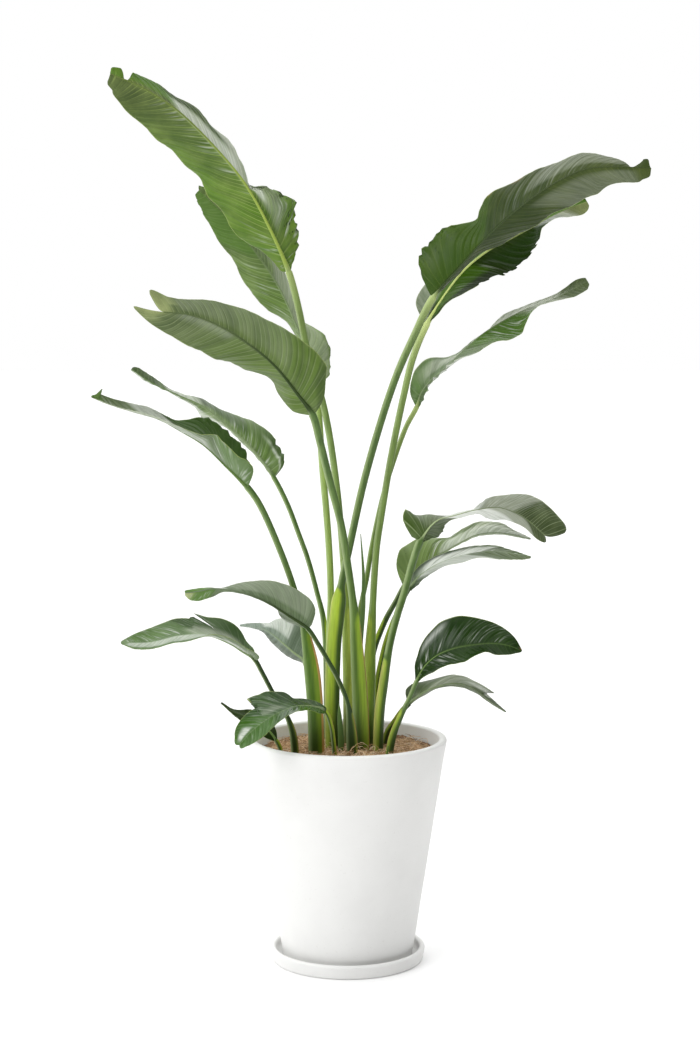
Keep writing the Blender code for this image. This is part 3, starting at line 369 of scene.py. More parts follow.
         [(50, 55, 445), (55, 52, 495), (61, 50, 527), (68, 49, 557), (79, 48, 590), (93, 48, 622)],
         [(109, 50, 653), (129, 54, 677), (159, 60, 696), (192, 66, 708), (228, 74, 716), (265, 82, 717),
          (302, 90, 711), (329, 96, 705)],
         [(0, 3, 3), (.06, 5, 18), (.10, 8, 26), (.20, 10, 32), (.30, 12, 34), (.40, 10, 34), (.50, 8, 32),
          (.60, 10, 28), (.70, 9, 24), (.80, 6, 18), (.90, 4, 10), (1, 1, 2)],
         [(0, -6, -3), (.06, -8, -14), (.10, -5, -24), (.20, -5, -32), (.40, -6, -36), (.60, -8, -32),
          (.70, -10, -28), (.80, -10, -20), (.90, -8, -12), (1, -2, -2)],
         top_radius=4, base_radius=6),
    Leaf("leaf_right_glossy", RIGHT, UPPER_FACE, (72, -54),
         [(79, -57, 412), (89, -60, 439), (100, -64, 463), (110, -67, 485)],
         [(119, -70, 508), (132, -72, 533), (153, -76, 553), (182, -80, 566), (218, -84, 573),
          (250, -88, 576), (276, -92, 573), (298, -94, 564)],
         [(0, 3, 3), (.05, 8, 10), (.10, 14, 16), (.15, 18, 20), (.20, 25, 22), (.30, 38, 22),
          (.40, 49, 20), (.50, 51, 18), (.60, 47, 16), (.70, 40, 14), (.80, 30, 11), (.90, 17, 7),
          (1, 2, 1)],
         [(0, -3, -3), (.05, -5, -12), (.10, -8, -20), (.20, -14, -30), (.30, -18, -34), (.40, -19, -34),
          (.50, -20, -32), (.60, -15, -28), (.70, -11, -24), (.80, -16, -18), (.90, -14, -10), (1, -2, -1)],
         top_radius=4, base_radius=7, sheath=(470, 90)),
    Leaf("leaf_right_low", RIGHT, UNDERSIDE, (64, 16),
         [(71, 14, 405), (82, 11, 421), (95, 6, 441)],
         [(108, 0, 456), (124, -3, 470), (143, -6, 482), (164, -9, 490), (186, -12, 494), (207, -15, 492),
          (226, -18, 482), (250, -22, 464), (277, -26, 446)],
         [(0, 4, 3), (.03, 16, 8), (.06, 21, 12), (.10, 21, 18), (.15, 17, 24), (.20, 13, 28), (.40, 9, 32),
          (.55, 9, 30), (.64, 12, 24, 6), (.69, 13, 19, 26), (.73, 6, 14), (.85, 4, 9), (1, 1, 1)],
         [(0, -4, 2), (.06, -6, 12), (.15, -8, 22), (.30, -8, 28), (.50, -9, 26), (.70, -6, 20),
          (.80, -4, 12), (.90, -3, 7), (1, -1, 1)],
         top_radius=3.5, base_radius=5),
]


@dataclass
class Shoot:
    """A rolled new leaf or a young shoot: a closed spear with no blade yet. Points are millimetres."""

    name: str
    base: tuple
    route: list
    radii: tuple


SHOOTS = [
    Shoot("rolled_new_leaf", (23, 47),
          [(22, 36, 450), (22, 14, 545), (27, -6, 625), (28, -8, 680), (23, -8, 757)],
          (5, 5, 4.5, 4.5, 3, .7)),
    Shoot("young_shoot_left", (-10, -34),
          [(-12, -34, 405), (-14, -33, 440), (-15, -31, 462)], (6, 5.5, 4, .7)),
    Shoot("young_shoot_right", (67, -84),
          [(68, -84, 378), (69, -85, 389), (70, -86, 398)], (2.5, 2.2, 1.6, .7)),
]


def srgb(red, green, blue):
    """A colour from a picker's 0 to 255 values, as the linear colour that shaders take."""
    channels = [value / 255 for value in (red, green, blue)]
    return tuple(c / 12.92 if c <= 0.04045 else ((c + 0.055) / 1.055) ** 2.4 for c in channels) + (1.0,)


@dataclass
class BladeLook:
    """The colours of one face of a blade: near the stalk, near the tip, on its veins, and its gloss."""

    base: tuple
    tip: tuple
    vein: tuple
    roughness: float = 0.45
    coat: float = 0.0
    vein_share: float = 0.5
    vein_reach: float = 0.8
    specular: float = 0.3


UNDER_OLIVE = BladeLook(srgb(84, 120, 16), srgb(84, 100, 46), srgb(158, 178, 96), 0.5, vein_reach=0.45)
UNDER_SHADE = BladeLook(srgb(92, 122, 40), srgb(74, 98, 34), srgb(154, 176, 108), 0.45, vein_share=0.4)
UNDER_MID = BladeLook(srgb(98, 124, 52), srgb(92, 108, 64), srgb(146, 160, 114), 0.5, vein_reach=0.9)
UNDER_FRILLED = BladeLook(srgb(104, 128, 68), srgb(76, 100, 48), srgb(170, 186, 142), 0.42, vein_share=0.35)
# Darkened as painted shade: the underside of a leaf that lies in shade.
UNDER_IN_SHADE = BladeLook(srgb(38, 54, 2), srgb(60, 72, 28), srgb(92, 106, 46), 0.42, vein_share=0.3,
                       specular=0.2)
UNDER_GREY = BladeLook(srgb(98, 118, 80), srgb(112, 128, 98), srgb(144, 158, 126), 0.42, vein_share=0.3)
UNDER_HOOD = BladeLook(srgb(70, 88, 34), srgb(68, 82, 42), srgb(160, 174, 132), 0.4, vein_share=0.55,
                       vein_reach=1.1)
UNDER_LIT = BladeLook(srgb(112, 138, 66), srgb(112, 124, 98), srgb(150, 170, 108), 0.42, vein_share=0.3)
UNDER_BLUE = BladeLook(srgb(98, 116, 92), srgb(132, 146, 134), srgb(156, 168, 152), 0.38, vein_share=0.3)
UNDER_MATTE = BladeLook(srgb(74, 94, 46), srgb(100, 112, 84), srgb(150, 158, 132), 0.42, vein_share=0.25)
UPPER_DARK = BladeLook(srgb(22, 38, 0), srgb(38, 54, 12), srgb(62, 80, 30), 0.34, 0.06, vein_share=0.35,
                       specular=0.15)
UPPER_GLOSSY = BladeLook(srgb(16, 44, 0), srgb(18, 42, 0), srgb(64, 92, 34), 0.3, 0.06, vein_share=0.3,
                         specular=0.16, vein_reach=0.7)
UPPER_RIM = BladeLook(srgb(36, 66, 16), srgb(56, 98, 34), srgb(128, 154, 108), 0.24, 0.4, vein_reach=1.1)
UPPER_PALE = BladeLook(srgb(84, 112, 54), srgb(84, 98, 58), srgb(150, 164, 128), 0.36, 0.1, vein_share=0.3)
UPPER_GREEN = BladeLook(srgb(70, 102, 44), srgb(100, 128, 78), srgb(146, 166, 126), 0.38, 0.15,
                        vein_share=0.35)
UPPER_GREY = BladeLook(srgb(74, 94, 60), srgb(98, 114, 74), srgb(140, 154, 124), 0.36, 0.1, vein_share=0.3)

STALK_GREEN = srgb(84, 112, 54)
STALK_LIGHT = srgb(124, 150, 78)
STALK_DEEP = srgb(48, 74, 20)
RIB_PALE = srgb(146, 166, 72)
RIB_DARK = srgb(44, 64, 16)
RIB_GREEN = srgb(96, 122, 60)
RIB_GREY = srgb(124, 142, 100)
LIME = srgb(160, 188, 44)
STRAW = srgb(196, 192, 96)
MARGIN_BROWN = srgb(176, 116, 62)


@dataclass
class Sheath:
    """The colours of a stalk's foot: its face, its thin wing, and the wing's margin."""

    face: tuple = STALK_GREEN
    wing: tuple = LIME
    margin: tuple = MARGIN_BROWN
    wing_from: float = 0.35
    margin_from: float = 0.95


class Half:
    """What one half of a blade carries. A patch is (kind, share from, share to, strength), and then where it
    starts and ends across, if it isn't as wide as the half. A tear is (share, half width in metres, depth),
    a ragged stretch (share from, share to, depth), and a frill (share from, share to, height in metres)."""

    def __init__(self, *patches, tears=(), ragged=(), frills=()):
        self.patches = patches
        self.tears = tears
        self.ragged = ragged
        self.frills = frills


@dataclass
class Looks:
    """How one leaf is finished: its two faces, rib, stalk and sheath, and the halves above and below the rib.
    Veins have their spacing, their lean towards the tip and the depth to which the blade crumples along
    them. The rib has its size and the length over which the stalk narrows into it, the stalk's end is paler
    by its collar, and the tip is pushed outwards a little."""

    under: BladeLook
    upper: BladeLook
    rib: tuple = RIB_GREEN
    stalk: tuple = STALK_GREEN
    sheath: Sheath = None
    above: Half = Half()
    below: Half = Half()
    vein_spacing: float = VEIN_SPACING
    vein_lean: float = 0.85
    crumple: float = 0.0
    rib_size: float = 1.0
    joint: float = 0.02
    collar: float = 0.0
    tip_push: float = 0.0


# Grey bloom that is partly the leaf's wax and partly painted sheen, dark green that is partly the leaf's tone
# and partly painted shade, pale young green, dry brown, bright green, painted white sheen, and painted sheen
# in streaks
PATCHES = ("bloom", "deep", "young", "brown", "vivid", "white", "gleam")

LEAF_LOOKS = {
    "leaf_left_top": Looks(
        UNDER_OLIVE, UPPER_DARK, RIB_PALE, STALK_LIGHT,
        Sheath(srgb(184, 206, 84), srgb(200, 214, 100), STRAW, .3, .9),
        above=Half(
            ("white", .42, .74, .6, 0, .45), ("bloom", .36, .44, .8), ("vivid", .72, .94, .6, .2, 1),
            ("vivid", .955, 1, .6), ("deep", .40, .9, .75, .5, 1), ("white", .24, .34, .6, .3, 1),
            ("gleam", .04, .16, .9, .35, .95), ("bloom", .14, .3, .35, .2, 1),
            ("deep", .06, .2, .35, .1, .7), ("deep", 0, .3, .4, 0, .3), ragged=[(.05, .34, .09)],
            frills=[(.03, .34, .004)]),
        below=Half(
            ("gleam", .33, .8, .85, 0, .32), ("gleam", .02, .14, .7, .1, .7), ("vivid", .2, .5, .12, .6, 1),
            ("deep", .35, .95, .25, .1, .7), ("deep", .94, 1, .3)),
        vein_lean=1.6, rib_size=.85, collar=.4, tip_push=.011),
    "leaf_left_top_behind": Looks(
        UNDER_SHADE, UPPER_DARK, RIB_GREY, srgb(156, 182, 96),
        Sheath(srgb(160, 186, 72), srgb(190, 204, 92), STRAW),
        above=Half(("bloom", 0, .5, .4, 0, .9), ragged=[(.03, .2, .1), (.9, 1, .25)]),
        below=Half(
            ("deep", .6, 1, .45), ("vivid", .62, 1, .45), ("gleam", .1, .55, .35, 0, .8),
            ragged=[(.93, 1, .3)]),
        vein_lean=1.4, rib_size=.6),
    "leaf_left_centre": Looks(
        UNDER_MID, UPPER_DARK, RIB_DARK, STALK_GREEN,
        Sheath(srgb(84, 114, 20), srgb(142, 172, 44)),
        above=Half(
            ("young", .955, 1, .6), ("young", .91, 1, .35, .5, 1), ("deep", 0, .1, .5, .55, 1),
            ("deep", .12, .2, .2, 0, .6), ("bloom", .25, .9, .12, .2, 1)),
        below=Half(("young", .96, 1, .6), ("young", .93, 1, .35, .5, 1), ("white", .6, .9, .12, 0, .2)),
        vein_lean=.6, rib_size=.75),
    "leaf_left_middle_behind": Looks(
        UNDER_FRILLED, UPPER_DARK, RIB_GREY,
        above=Half(
            ("white", .56, .76, .4, 0, .8), ("deep", .8, 1, .65), ("deep", .24, .56, .9, .2, .9),
            ("deep", 0, .14, .9, .7, 1), ("white", 0, .13, .9, .6, .66), ("gleam", 0, .35, .9, 0, .45),
            ("deep", .1, .5, .35, .35, 1), ("vivid", 0, .5, .2, .1, 1), ragged=[(0, .15, .08)],
            frills=[(0, .16, .003)]),
        below=Half(("white", .3, 1, .6, .3, 1), ragged=[(.4, .62, .12)], frills=[(.4, .62, .003)]),
        crumple=.0007, rib_size=.7),
    "leaf_left_middle": Looks(
        UNDER_GREY, UPPER_GREY, RIB_GREEN, STALK_GREEN,
        Sheath(srgb(76, 112, 16), srgb(116, 146, 26), srgb(190, 150, 84), .4, .84),
        above=Half(
            ("deep", 0, .42, .8), ("vivid", 0, .42, .25), ("white", .46, .72, .5), ("vivid", .93, 1, .5),
            ("gleam", .7, .95, .4), ragged=[(.05, .4, .05)], frills=[(.02, .4, .0025)]),
        below=Half(
            ("deep", 0, .24, .12), ("white", .28, .5, .4), ("bloom", .48, .95, .7),
            ("gleam", .02, .48, .55, .2, 1), ("vivid", 0, .16, .3)),
        vein_lean=1.6, vein_spacing=.007, crumple=.0006, rib_size=.5),
    "leaf_left_low_front": Looks(
        UNDER_GREY, UPPER_DARK, RIB_DARK, STALK_DEEP,
        Sheath(srgb(40, 64, 14), srgb(130, 146, 50), wing_from=.6),
        above=Half(("vivid", .8, 1, .7), ("white", .70, .77, .6), ("bloom", .04, .6, .28, .25, 1)),
        below=Half(
            ("young", .94, 1, .8), ("vivid", .78, .95, .7), ("gleam", .8, .98, .6, .2, 1),
            ("deep", 0, .5, .35, .3, 1)),
        vein_spacing=.0058, crumple=.0004, rib_size=.7),
    "leaf_left_low_behind": Looks(
        UNDER_GREY, UPPER_GREEN, RIB_GREY, STALK_DEEP,
        Sheath(srgb(40, 64, 14), srgb(112, 130, 50), wing_from=.6),
        above=Half(
            ("deep", .06, .43, .6, .2, 1), ("gleam", .5, .97, .8, .1, 1), ("gleam", .2, .46, .6, .6, 1),
            ("vivid", .6, .9, .25, .3, 1), ("bloom", .03, .48, .5, 0, .42), tears=[(.467, .005, .6)]),
        below=Half(("white", .08, .95, .5, 0, .6)),
        vein_lean=1.5, vein_spacing=.0075, crumple=.0005, rib_size=.6),
    "leaf_left_over_rim": Looks(
        UNDER_GREY, UPPER_RIM, RIB_GREY, STALK_DEEP,
        above=Half(
            ("white", .8, .96, .7, .15, .55), ("gleam", .33, .63, .5, .1, 1),
            ("bloom", .42, .6, .4, .15, .35), ("vivid", .6, 1, .3), ("gleam", .66, .8, .5, 0, .6),
            ("deep", 0, .3, .3)),
        below=Half(("vivid", 0, .3, .35), ("vivid", .55, 1, .3)),
        vein_lean=1.5, vein_spacing=.010, crumple=.0003, rib_size=.5),
    "leaf_left_small": Looks(
        UNDER_GREY, UPPER_DARK, RIB_GREEN, STALK_DEEP,
        rib_size=.5),
    "leaf_left_inner": Looks(
        UNDER_BLUE, UPPER_DARK, RIB_GREY, STALK_DEEP,
        above=Half(("white", .3, .66, .55, .3, 1), ("deep", 0, .3, .4)),
        below=Half(("deep", 0, .7, .6, .2, 1), ragged=[(.1, .5, .08)]),
        vein_spacing=.007, crumple=.0004, rib_size=.5),
    "leaf_right_top": Looks(
        UNDER_IN_SHADE, UPPER_DARK, RIB_DARK, STALK_GREEN,
        Sheath(srgb(66, 96, 16), srgb(176, 204, 58), srgb(202, 208, 120), .2, .95),
        above=Half(
            ("bloom", .5, .9, .24, .3, 1), ("gleam", .4, .75, .18), ("vivid", 0, .3, .2),
            ("deep", .94, 1, .4), ("deep", .28, .6, .4, 0, .5), ("vivid", 0, .2, .25, .75, 1),
            ("deep", .04, .3, .4, .1, .6), ("brown", .275, .28, .8, .96, 1),
            ("brown", .385, .39, .9, .96, 1), ragged=[(0, .24, .07)], frills=[(.02, .26, .003)]),
        below=Half(("bloom", .5, .95, .18, .2, 1), ("deep", .3, .6, .3, 0, .4)),
        vein_lean=1.3, rib_size=.5, joint=.008, collar=.5, tip_push=.009),
    "leaf_right_top_behind": Looks(
        UNDER_GREY, UPPER_DARK, srgb(190, 204, 120), STALK_LIGHT,
        Sheath(srgb(120, 150, 44), srgb(168, 190, 66), srgb(160, 132, 72), .3, .96),
        above=Half(
            ("vivid", .1, 1, .5, 0, .6), ("bloom", 0, .14, .45, .2, 1), ("vivid", 0, .14, .3, .2, 1)),
        below=Half(
            ("young", .84, 1, .35), ("white", .72, .88, .35), ("vivid", .04, .35, .4, 0, .6),
            ("gleam", .15, .4, .25, .3, .9), ("deep", .4, .74, .9, .2, 1), ("deep", 0, .2, .5, .5, 1),
            ragged=[(.3, .72, .1)]),
        vein_lean=1.3, rib_size=.9, collar=.95),
    "leaf_right_twisted": Looks(
        UNDER_GREY, UPPER_PALE, RIB_GREY, srgb(110, 136, 60),
        above=Half(("bloom", .3, .84, .65), ("bloom", .1, .3, .5, .3, .8), ("vivid", 0, .12, .25, .2, .9)),
        below=Half(
            ("deep", .02, .2, .3, .1, .7), ("vivid", .36, .66, .6), ("deep", .42, .66, .5),
            ("bloom", .64, .84, .4), ("gleam", .4, .65, .9, .1, 1), ("white", .04, .24, .6, .75, 1),
            ragged=[(.02, .2, .1)], frills=[(.03, .26, .0025)]),
        vein_lean=1.3, rib_size=.6, collar=.5, tip_push=.002),
    "leaf_right_middle_front": Looks(
        UNDER_HOOD, UPPER_DARK, srgb(166, 184, 132), STALK_GREEN,
        Sheath(srgb(66, 98, 18), srgb(158, 184, 58), STRAW, .5, .96),
        above=Half(
            ("white", .26, .56, .95), ("bloom", .56, .78, .7), ("vivid", 0, .1, .15),
            ("gleam", .6, .85, .4, .1, 1), ragged=[(.53, .62, .2)]),
        below=Half(
            ("white", .26, .62, .95), ("bloom", .62, .86, .8), ("deep", 0, .24, .7),
            ragged=[(.02, .22, .12), (.5, .62, .3)]),
        vein_lean=2.8, vein_spacing=.0055, rib_size=.45, joint=.006),
    "leaf_right_middle": Looks(
        UNDER_LIT, UPPER_DARK, RIB_GREY, STALK_DEEP,
        above=Half(
            ("white", .3, .98, .45, 0, .6), ("gleam", .2, .98, .9), ("deep", .22, .5, .5, .6, 1),
            ("bloom", .5, 1, .5, .4, 1)),
        vein_lean=2.2, crumple=.0010, rib_size=.5),
    "leaf_right_pale": Looks(
        UNDER_GREY, UPPER_GREY, RIB_GREY, STALK_DEEP,
        above=Half(
            ("white", .1, .62, .7, 0, .8), ("deep", .02, .34, .9, .7, 1), ("gleam", .3, .9, .8, .1, 1),
            ("vivid", .82, 1, .35, .2, 1)),
        below=Half(("white", .1, .5, .5), ("deep", 0, .14, .6, .2, 1), ragged=[(0, .3, .4)]),
        vein_lean=2.2, crumple=.0010, rib_size=.5),
    "leaf_right_glossy": Looks(
        UNDER_GREY, UPPER_GLOSSY, RIB_GREEN, STALK_GREEN,
        above=Half(
            ("gleam", .04, .35, .9, .1, .6), ("white", .12, .26, .45, .7, .9),
            ("gleam", .4, .8, .35, .1, 1), ("brown", .97, 1, .3, .4, 1)),
        below=Half(("gleam", 0, .4, .6, .1, .9)),
        vein_spacing=.008, vein_lean=1.1, rib_size=.55),
    "leaf_right_low": Looks(
        UNDER_MATTE, UPPER_DARK, RIB_GREY, STALK_DEEP,
        above=Half(
            ("bloom", .2, .6, .5), ("white", .5, .75, .5, .3, 1), ("deep", .74, 1, .5),
            ("deep", 0, .14, .5, .2, 1)),
        vein_lean=2.0, crumple=.0006, rib_size=.5),
}


# Curves and frames


def unit(vectors):
    return vectors / np.maximum(np.linalg.norm(vectors, axis=-1, keepdims=True), 1e-12)


def smoothstep(low, high, values):
    share = np.clip((values - low) / (high - low), 0.0, 1.0)
    return share * share * (3 - 2 * share)


def between(low, high, fade, values):
    """One inside low to high and nought outside, with a soft change of this half width at both ends."""
    return smoothstep(low - fade, low + fade, values) * (1 - smoothstep(high - fade, high + fade, values))


def blend(first, second, start, end, place):
    """The way from the first point to the second, read at a place from start to end."""
    return first + (second - first) * (place - start) / (end - start)


class Route:
    """A smooth curve through points, read by distance along it."""

    STEPS = 24
    SLOPE_REACH = 0.006

    def __init__(self, points):
        points = np.array(points, float) * MM
        knots = np.vstack([2 * points[0] - points[1], points, 2 * points[-1] - points[-2]])
        drawn = []
        for p0, p1, p2, p3 in zip(knots, knots[1:], knots[2:], knots[3:]):
            steps = [math.sqrt(np.linalg.norm(b - a)) for a, b in ((p0, p1), (p1, p2), (p2, p3))]
            t0, t1, t2, t3 = np.cumsum([0.0] + steps)
            for t in np.linspace(t1, t2, self.STEPS, endpoint=False):
                before = blend(p0, p1, t0, t1, t)
                within = blend(p1, p2, t1, t2, t)
                after = blend(p2, p3, t2, t3, t)
                low = blend(before, within, t0, t2, t)
                high = blend(within, after, t1, t3, t)
                drawn.append(blend(low, high, t1, t2, t))
        drawn.append(points[-1])
        self.points = np.array(drawn)
        steps = np.linalg.norm(np.diff(self.points, axis=0), axis=1)
        self.distances = np.concatenate([[0.0], np.cumsum(steps)])
        self.length = self.distances[-1]

    def at(self, distances):
        return np.stack([np.interp(distances, self.distances, axis) for axis in self.points.T], axis=-1)

    def along(self, distances):
        ahead = self.at(np.minimum(distances + self.SLOPE_REACH, self.length))
        behind = self.at(np.maximum(distances - self.SLOPE_REACH, 0.0))
        return unit(ahead - behind)

    def distance_of(self, index):
        """Distance at the route's own point with this index."""
        return self.distances[index * self.STEPS]

    def frames_at(self, distances, away, lean):
        """Points, the way along, and the two ways across: up in the picture and away from the viewer."""
        tangents = self.along(distances)
        away = np.array(away)
        backs = unit(away - tangents * (tangents @ away)[..., None])
        return self.at(distances), tangents, lean * np.cross(backs, tangents), backs


def steady_slopes(xs, ys):
    """Slopes at a curve's points that let it pass through them without overshooting."""
    steps = np.diff(xs)
    rises = np.diff(ys) / steps
    slopes = np.zeros(len(xs))
    same = rises[:-1] * rises[1:] > 0
    first, second = steps[:-1][same], steps[1:][same]
    weights = (2 * second + first), (second + 2 * first)
    slopes[1:-1][same] = sum(weights) / (weights[0] / rises[:-1][same] + weights[1] / rises[1:][same])
    slopes[0], slopes[-1] = rises[0], rises[-1]
    return slopes


def smooth_reading(xs, ys, places):
    """A smooth curve through (xs, ys) with no overshoot, read at these places."""
    slopes = steady_slopes(xs, ys)
    index = np.clip(np.searchsorted(xs, places) - 1, 0, len(xs) - 2)
    width = xs[index + 1] - xs[index]
    t = np.clip((places - xs[index]) / width, 0.0, 1.0)
    return ((1 + 2 * t) * (1 - t) ** 2 * ys[index] + t * (1 - t) ** 2 * width * slopes[index]
            + t * t * (3 - 2 * t) * ys[index + 1] + t * t * (t - 1) * width * slopes[index + 1])


def edge_offsets(rows, shares):
    """A half's edge at these shares of the rib: up, away and along, in metres."""
    marks = np.array([row[0] for row in rows], float)
    columns = np.array([(row + (0.0,))[1:4] for row in rows], float).T * MM
    return np.stack([smooth_reading(marks, column, shares) for column in columns], axis=-1)


# Blades


class Blade:
    """The middle surface of a leaf's blade, read by share of the rib and place across it."""

    def __init__(self, leaf, looks):
        self.leaf = leaf
        self.looks = looks
        foot = [(*leaf.base, height / MM) for height in (ROOTED, MULCH_TOP)]
        self.route = Route(foot + leaf.stalk + leaf.rib)
        self.start = self.route.distance_of(len(foot) + len(leaf.stalk))
        self.length = self.route.length - self.start

    def frames_at(self, distances):
        return self.route.frames_at(distances, self.leaf.away, self.leaf.lean)

    def vein_end(self, rows, shares):
        """How far along the rib a lateral vein reaches by the time it meets the margin, as a share."""
        samples = np.linspace(0, 1, FRAME_SAMPLES)
        edges = edge_offsets(rows, samples)
        reach = int(FRAME_SAMPLES * VEIN_SMOOTHING)
        padded = np.pad(np.hypot(edges[:, 0], edges[:, 1]), reach, mode="edge")
        widths = np.convolve(padded, np.ones(2 * reach + 1) / (2 * reach + 1), mode="valid")
        left = np.maximum(1 - samples, 1e-6)
        ends = left * (1 - np.exp(-widths / self.length * self.looks.vein_lean / left))
        ends = ends * smoothstep(0, VEINS_OPEN_BY, samples)
        least = samples * (1 - LEAST_SPREAD)
        return np.interp(shares, samples, np.minimum.accumulate((least + ends)[::-1])[::-1] - least)

    def extents(self, half, rows, lines, generator):
        """How far out each lateral vein's line of points goes: less where the margin is torn or ragged."""
        tip = np.clip((lines - 1 + TIP_ROUNDING) / TIP_ROUNDING, 0, 1)
        margins = lines + self.vein_end(rows, lines)
        extents = 1 - TIP_CORNERS * (1 - np.sqrt(1 - tip * tip))
        for share, width, depth in half.tears:
            away = np.abs(margins - share) * self.length / width
            extents = extents * (1 - depth * np.clip(1 - away, 0, 1))
        teeth = max(4, round(self.length / TOOTH_LENGTH))
        for low, high, depth in half.ragged:
            bites = generator.uniform(0, 1, teeth)[np.minimum((margins * teeth).astype(int), teeth - 1)]
            extents = extents * (1 - depth * bites * between(low, high, RAGGED_FADE, margins))
        return extents

    def half_points(self, side, half, rows, lines, places):
        """Points of one half: one line of them along each lateral vein, from the rib to the margin."""
        ends = self.vein_end(rows, lines)[:, None]
        reached = np.clip(lines[:, None] + ends * places ** VEIN_CURVE, 0.0, 1.0)
        distances = self.start + self.length * reached
        centres, tangents, ups, backs = self.frames_at(distances)
        edges = edge_offsets(rows, reached)
        widths = np.hypot(edges[..., 0], edges[..., 1])
        outward = edges[..., :2] / widths[..., None]
        normals = side * np.stack([outward[..., 1], -outward[..., 0]], axis=-1)
        ripple = RIPPLE_SHARE * widths
        wave = ripple * np.sin(TURN * distances / RIPPLE_LENGTH + side) * places ** 2
        small = np.sin(TURN * distances / SMALL_RIPPLE_LENGTH + SMALL_RIPPLE_START * side)
        wave = wave + SMALL_RIPPLE_SHARE * ripple * places ** 4 * small
        for low, high, height in half.frills:
            turns = TURN * distances / FRILL_LENGTH
            second = np.sin(FRILL_SECOND_PACE * turns + FRILL_SECOND_START)
            frill = np.sin(turns) + FRILL_SECOND_SHARE * second
            wave = wave + height * between(low, high, FRILL_FADE, reached) * places ** 3 * frill
        bulge = 4 * BULGE_SHARE * widths * places * (1 - places) * -self.leaf.shows
        across = edges[..., :2] * places[..., None] + normals * (bulge + wave)[..., None]
        push = self.looks.tip_push * smoothstep(TIP_PUSH_FROM, 1, lines)
        along = edges[..., 2] * places ** ALONG_POWER + push[:, None]
        return centres + ups * across[..., :1] + backs * across[..., 1:] + tangents * along[..., None]

    def grid(self, line_step, seed):
        """The whole middle surface, from the upper margin across the rib to the lower one: its points, where
        its lines leave the rib, and how far across each point is."""
        generator = np.random.default_rng(seed)
        lines = np.linspace(0, 1, max(16, round(self.length / line_step)) + 1)
        points, across = [], []
        for side, half, rows in ((ABOVE_RIB, self.looks.above, self.leaf.upper),
                                 (BELOW_RIB, self.looks.below, self.leaf.lower)):
            places = np.array(ACROSS_PLACES) * self.extents(half, rows, lines, generator)[:, None]
            points.append(self.half_points(side, half, rows, lines, places))
            across.append(side * places)
        whole = [np.concatenate([above[:, ::-1], below[:, 1:]], axis=1) for above, below in (points, across)]
        return whole[0], lines, whole[1]


def grid_normals(points, lean):
    """Unit normals of a grid that face the viewer's side of the leaf."""
    return lean * unit(np.cross(np.gradient(points, axis=0), np.gradient(points, axis=1)))


def vein_marks(lines, length, looks, seed):
    """How far along the veins' pattern each line of points is, with spacing that varies."""
    generator = np.random.default_rng(seed)
    knots = max(6, round(length / VEIN_SWAY_LENGTH))
    sway = np.interp(lines, np.linspace(0, 1, knots), generator.uniform(-VEIN_SWAY, VEIN_SWAY, knots))
    return (lines * length + sway) * VEIN_SPACING / looks.vein_spacing


def pleated(points, normals, marks, across, looks, seed):
    """The blade pleated along its lateral veins, with a deeper fold at every second one, and crumpled."""
    phase = TURN * marks / VEIN_SPACING
    pleats = np.cos(phase) * PLEAT_SHARE + np.cos(phase / 2 + 1.0) * SECOND_PLEAT_SHARE
    generator = np.random.default_rng(seed + CRUMPLE_SEED)
    knots = np.arange(0, marks[-1] + CRUMPLE_LENGTH, CRUMPLE_LENGTH)
    folds = smooth_reading(knots, generator.uniform(-1, 1, len(knots)), marks)
    depth = (PLEAT_DEPTH * looks.vein_spacing / VEIN_SPACING * pleats + looks.crumple * folds)[:, None]
    reach = np.abs(across)
    envelope = smoothstep(*PLEATS_OPEN, reach) * (1 - FLATTER_MARGIN * smoothstep(*PLEATS_FLATTEN, reach))
    return points + normals * (depth * envelope)[..., None]


def painted(looks, kind, lines, across):
    """How much of one kind of patch each point has."""
    amount = np.zeros(across.shape)
    for side, half in ((ABOVE_RIB, looks.above), (BELOW_RIB, looks.below)):
        for patch, low, high, strength, *reach in half.patches:
            if patch != kind:
                continue
            over = np.ones(len(lines))
            if low > 0:
                over = over * smoothstep(low - PATCH_FADE, low + PATCH_FADE, lines)
            if high < 1:
                over = over * (1 - smoothstep(high - PATCH_FADE, high + PATCH_FADE, lines))
            inner, outer = reach or (0, 1)
            out = across * side
            band = smoothstep(inner - INNER_FADE, inner + INNER_FADE, out)
            if outer < 1:
                fade = GLEAM_FADE if kind == "gleam" else OUTER_FADE
                band = band * (1 - smoothstep(outer - fade, outer + OUTER_FADE, out))
            amount = np.maximum(amount, strength * over[:, None] * band)
    return amount.ravel()


# Meshes


def quads_of_grid(rows, columns, turned=False):
    """Faces of a grid of points, row by row."""
    corner = np.arange((rows - 1) * columns).reshape(rows - 1, columns)[:, :-1].ravel()
    faces = np.stack([corner, corner + 1, corner + columns + 1, corner + columns], axis=1)
    return faces[:, ::-1] if turned else faces


def border_of_grid(rows, columns):
    """The indices round a grid's edge, in order."""
    index = np.arange(rows * columns).reshape(rows, columns)
    return np.concatenate([index[0, :-1], index[:-1, -1], index[-1, :0:-1], index[:0:-1, 0]])


def tube_faces(rings, sides):
    """Faces of a tube of rings, open at both ends."""
    start = np.arange((rings - 1) * sides)
    turn = np.where(start % sides == sides - 1, start - sides + 1, start + 1)
    return np.stack([start, turn, turn + sides, start + sides], axis=1)


def disc_faces(rings, sides):
    """Faces between the rings of a disc that faces up."""
    return tube_faces(rings, sides)[:, [0, 3, 2, 1]]


def rings_round(centres, ups, backs, rise, depth):
    """Rings of points round a curve, from how far up and how far back each point lies."""
    return centres[:, None] + ups[:, None] * rise[..., None] + backs[:, None] * depth[..., None]


def plain_mesh(name, points, faces, smooth=True):
    mesh = bpy.data.meshes.new(name)
    mesh.from_pydata(points, [], faces)
    if smooth:
        mesh.shade_smooth()
    return mesh


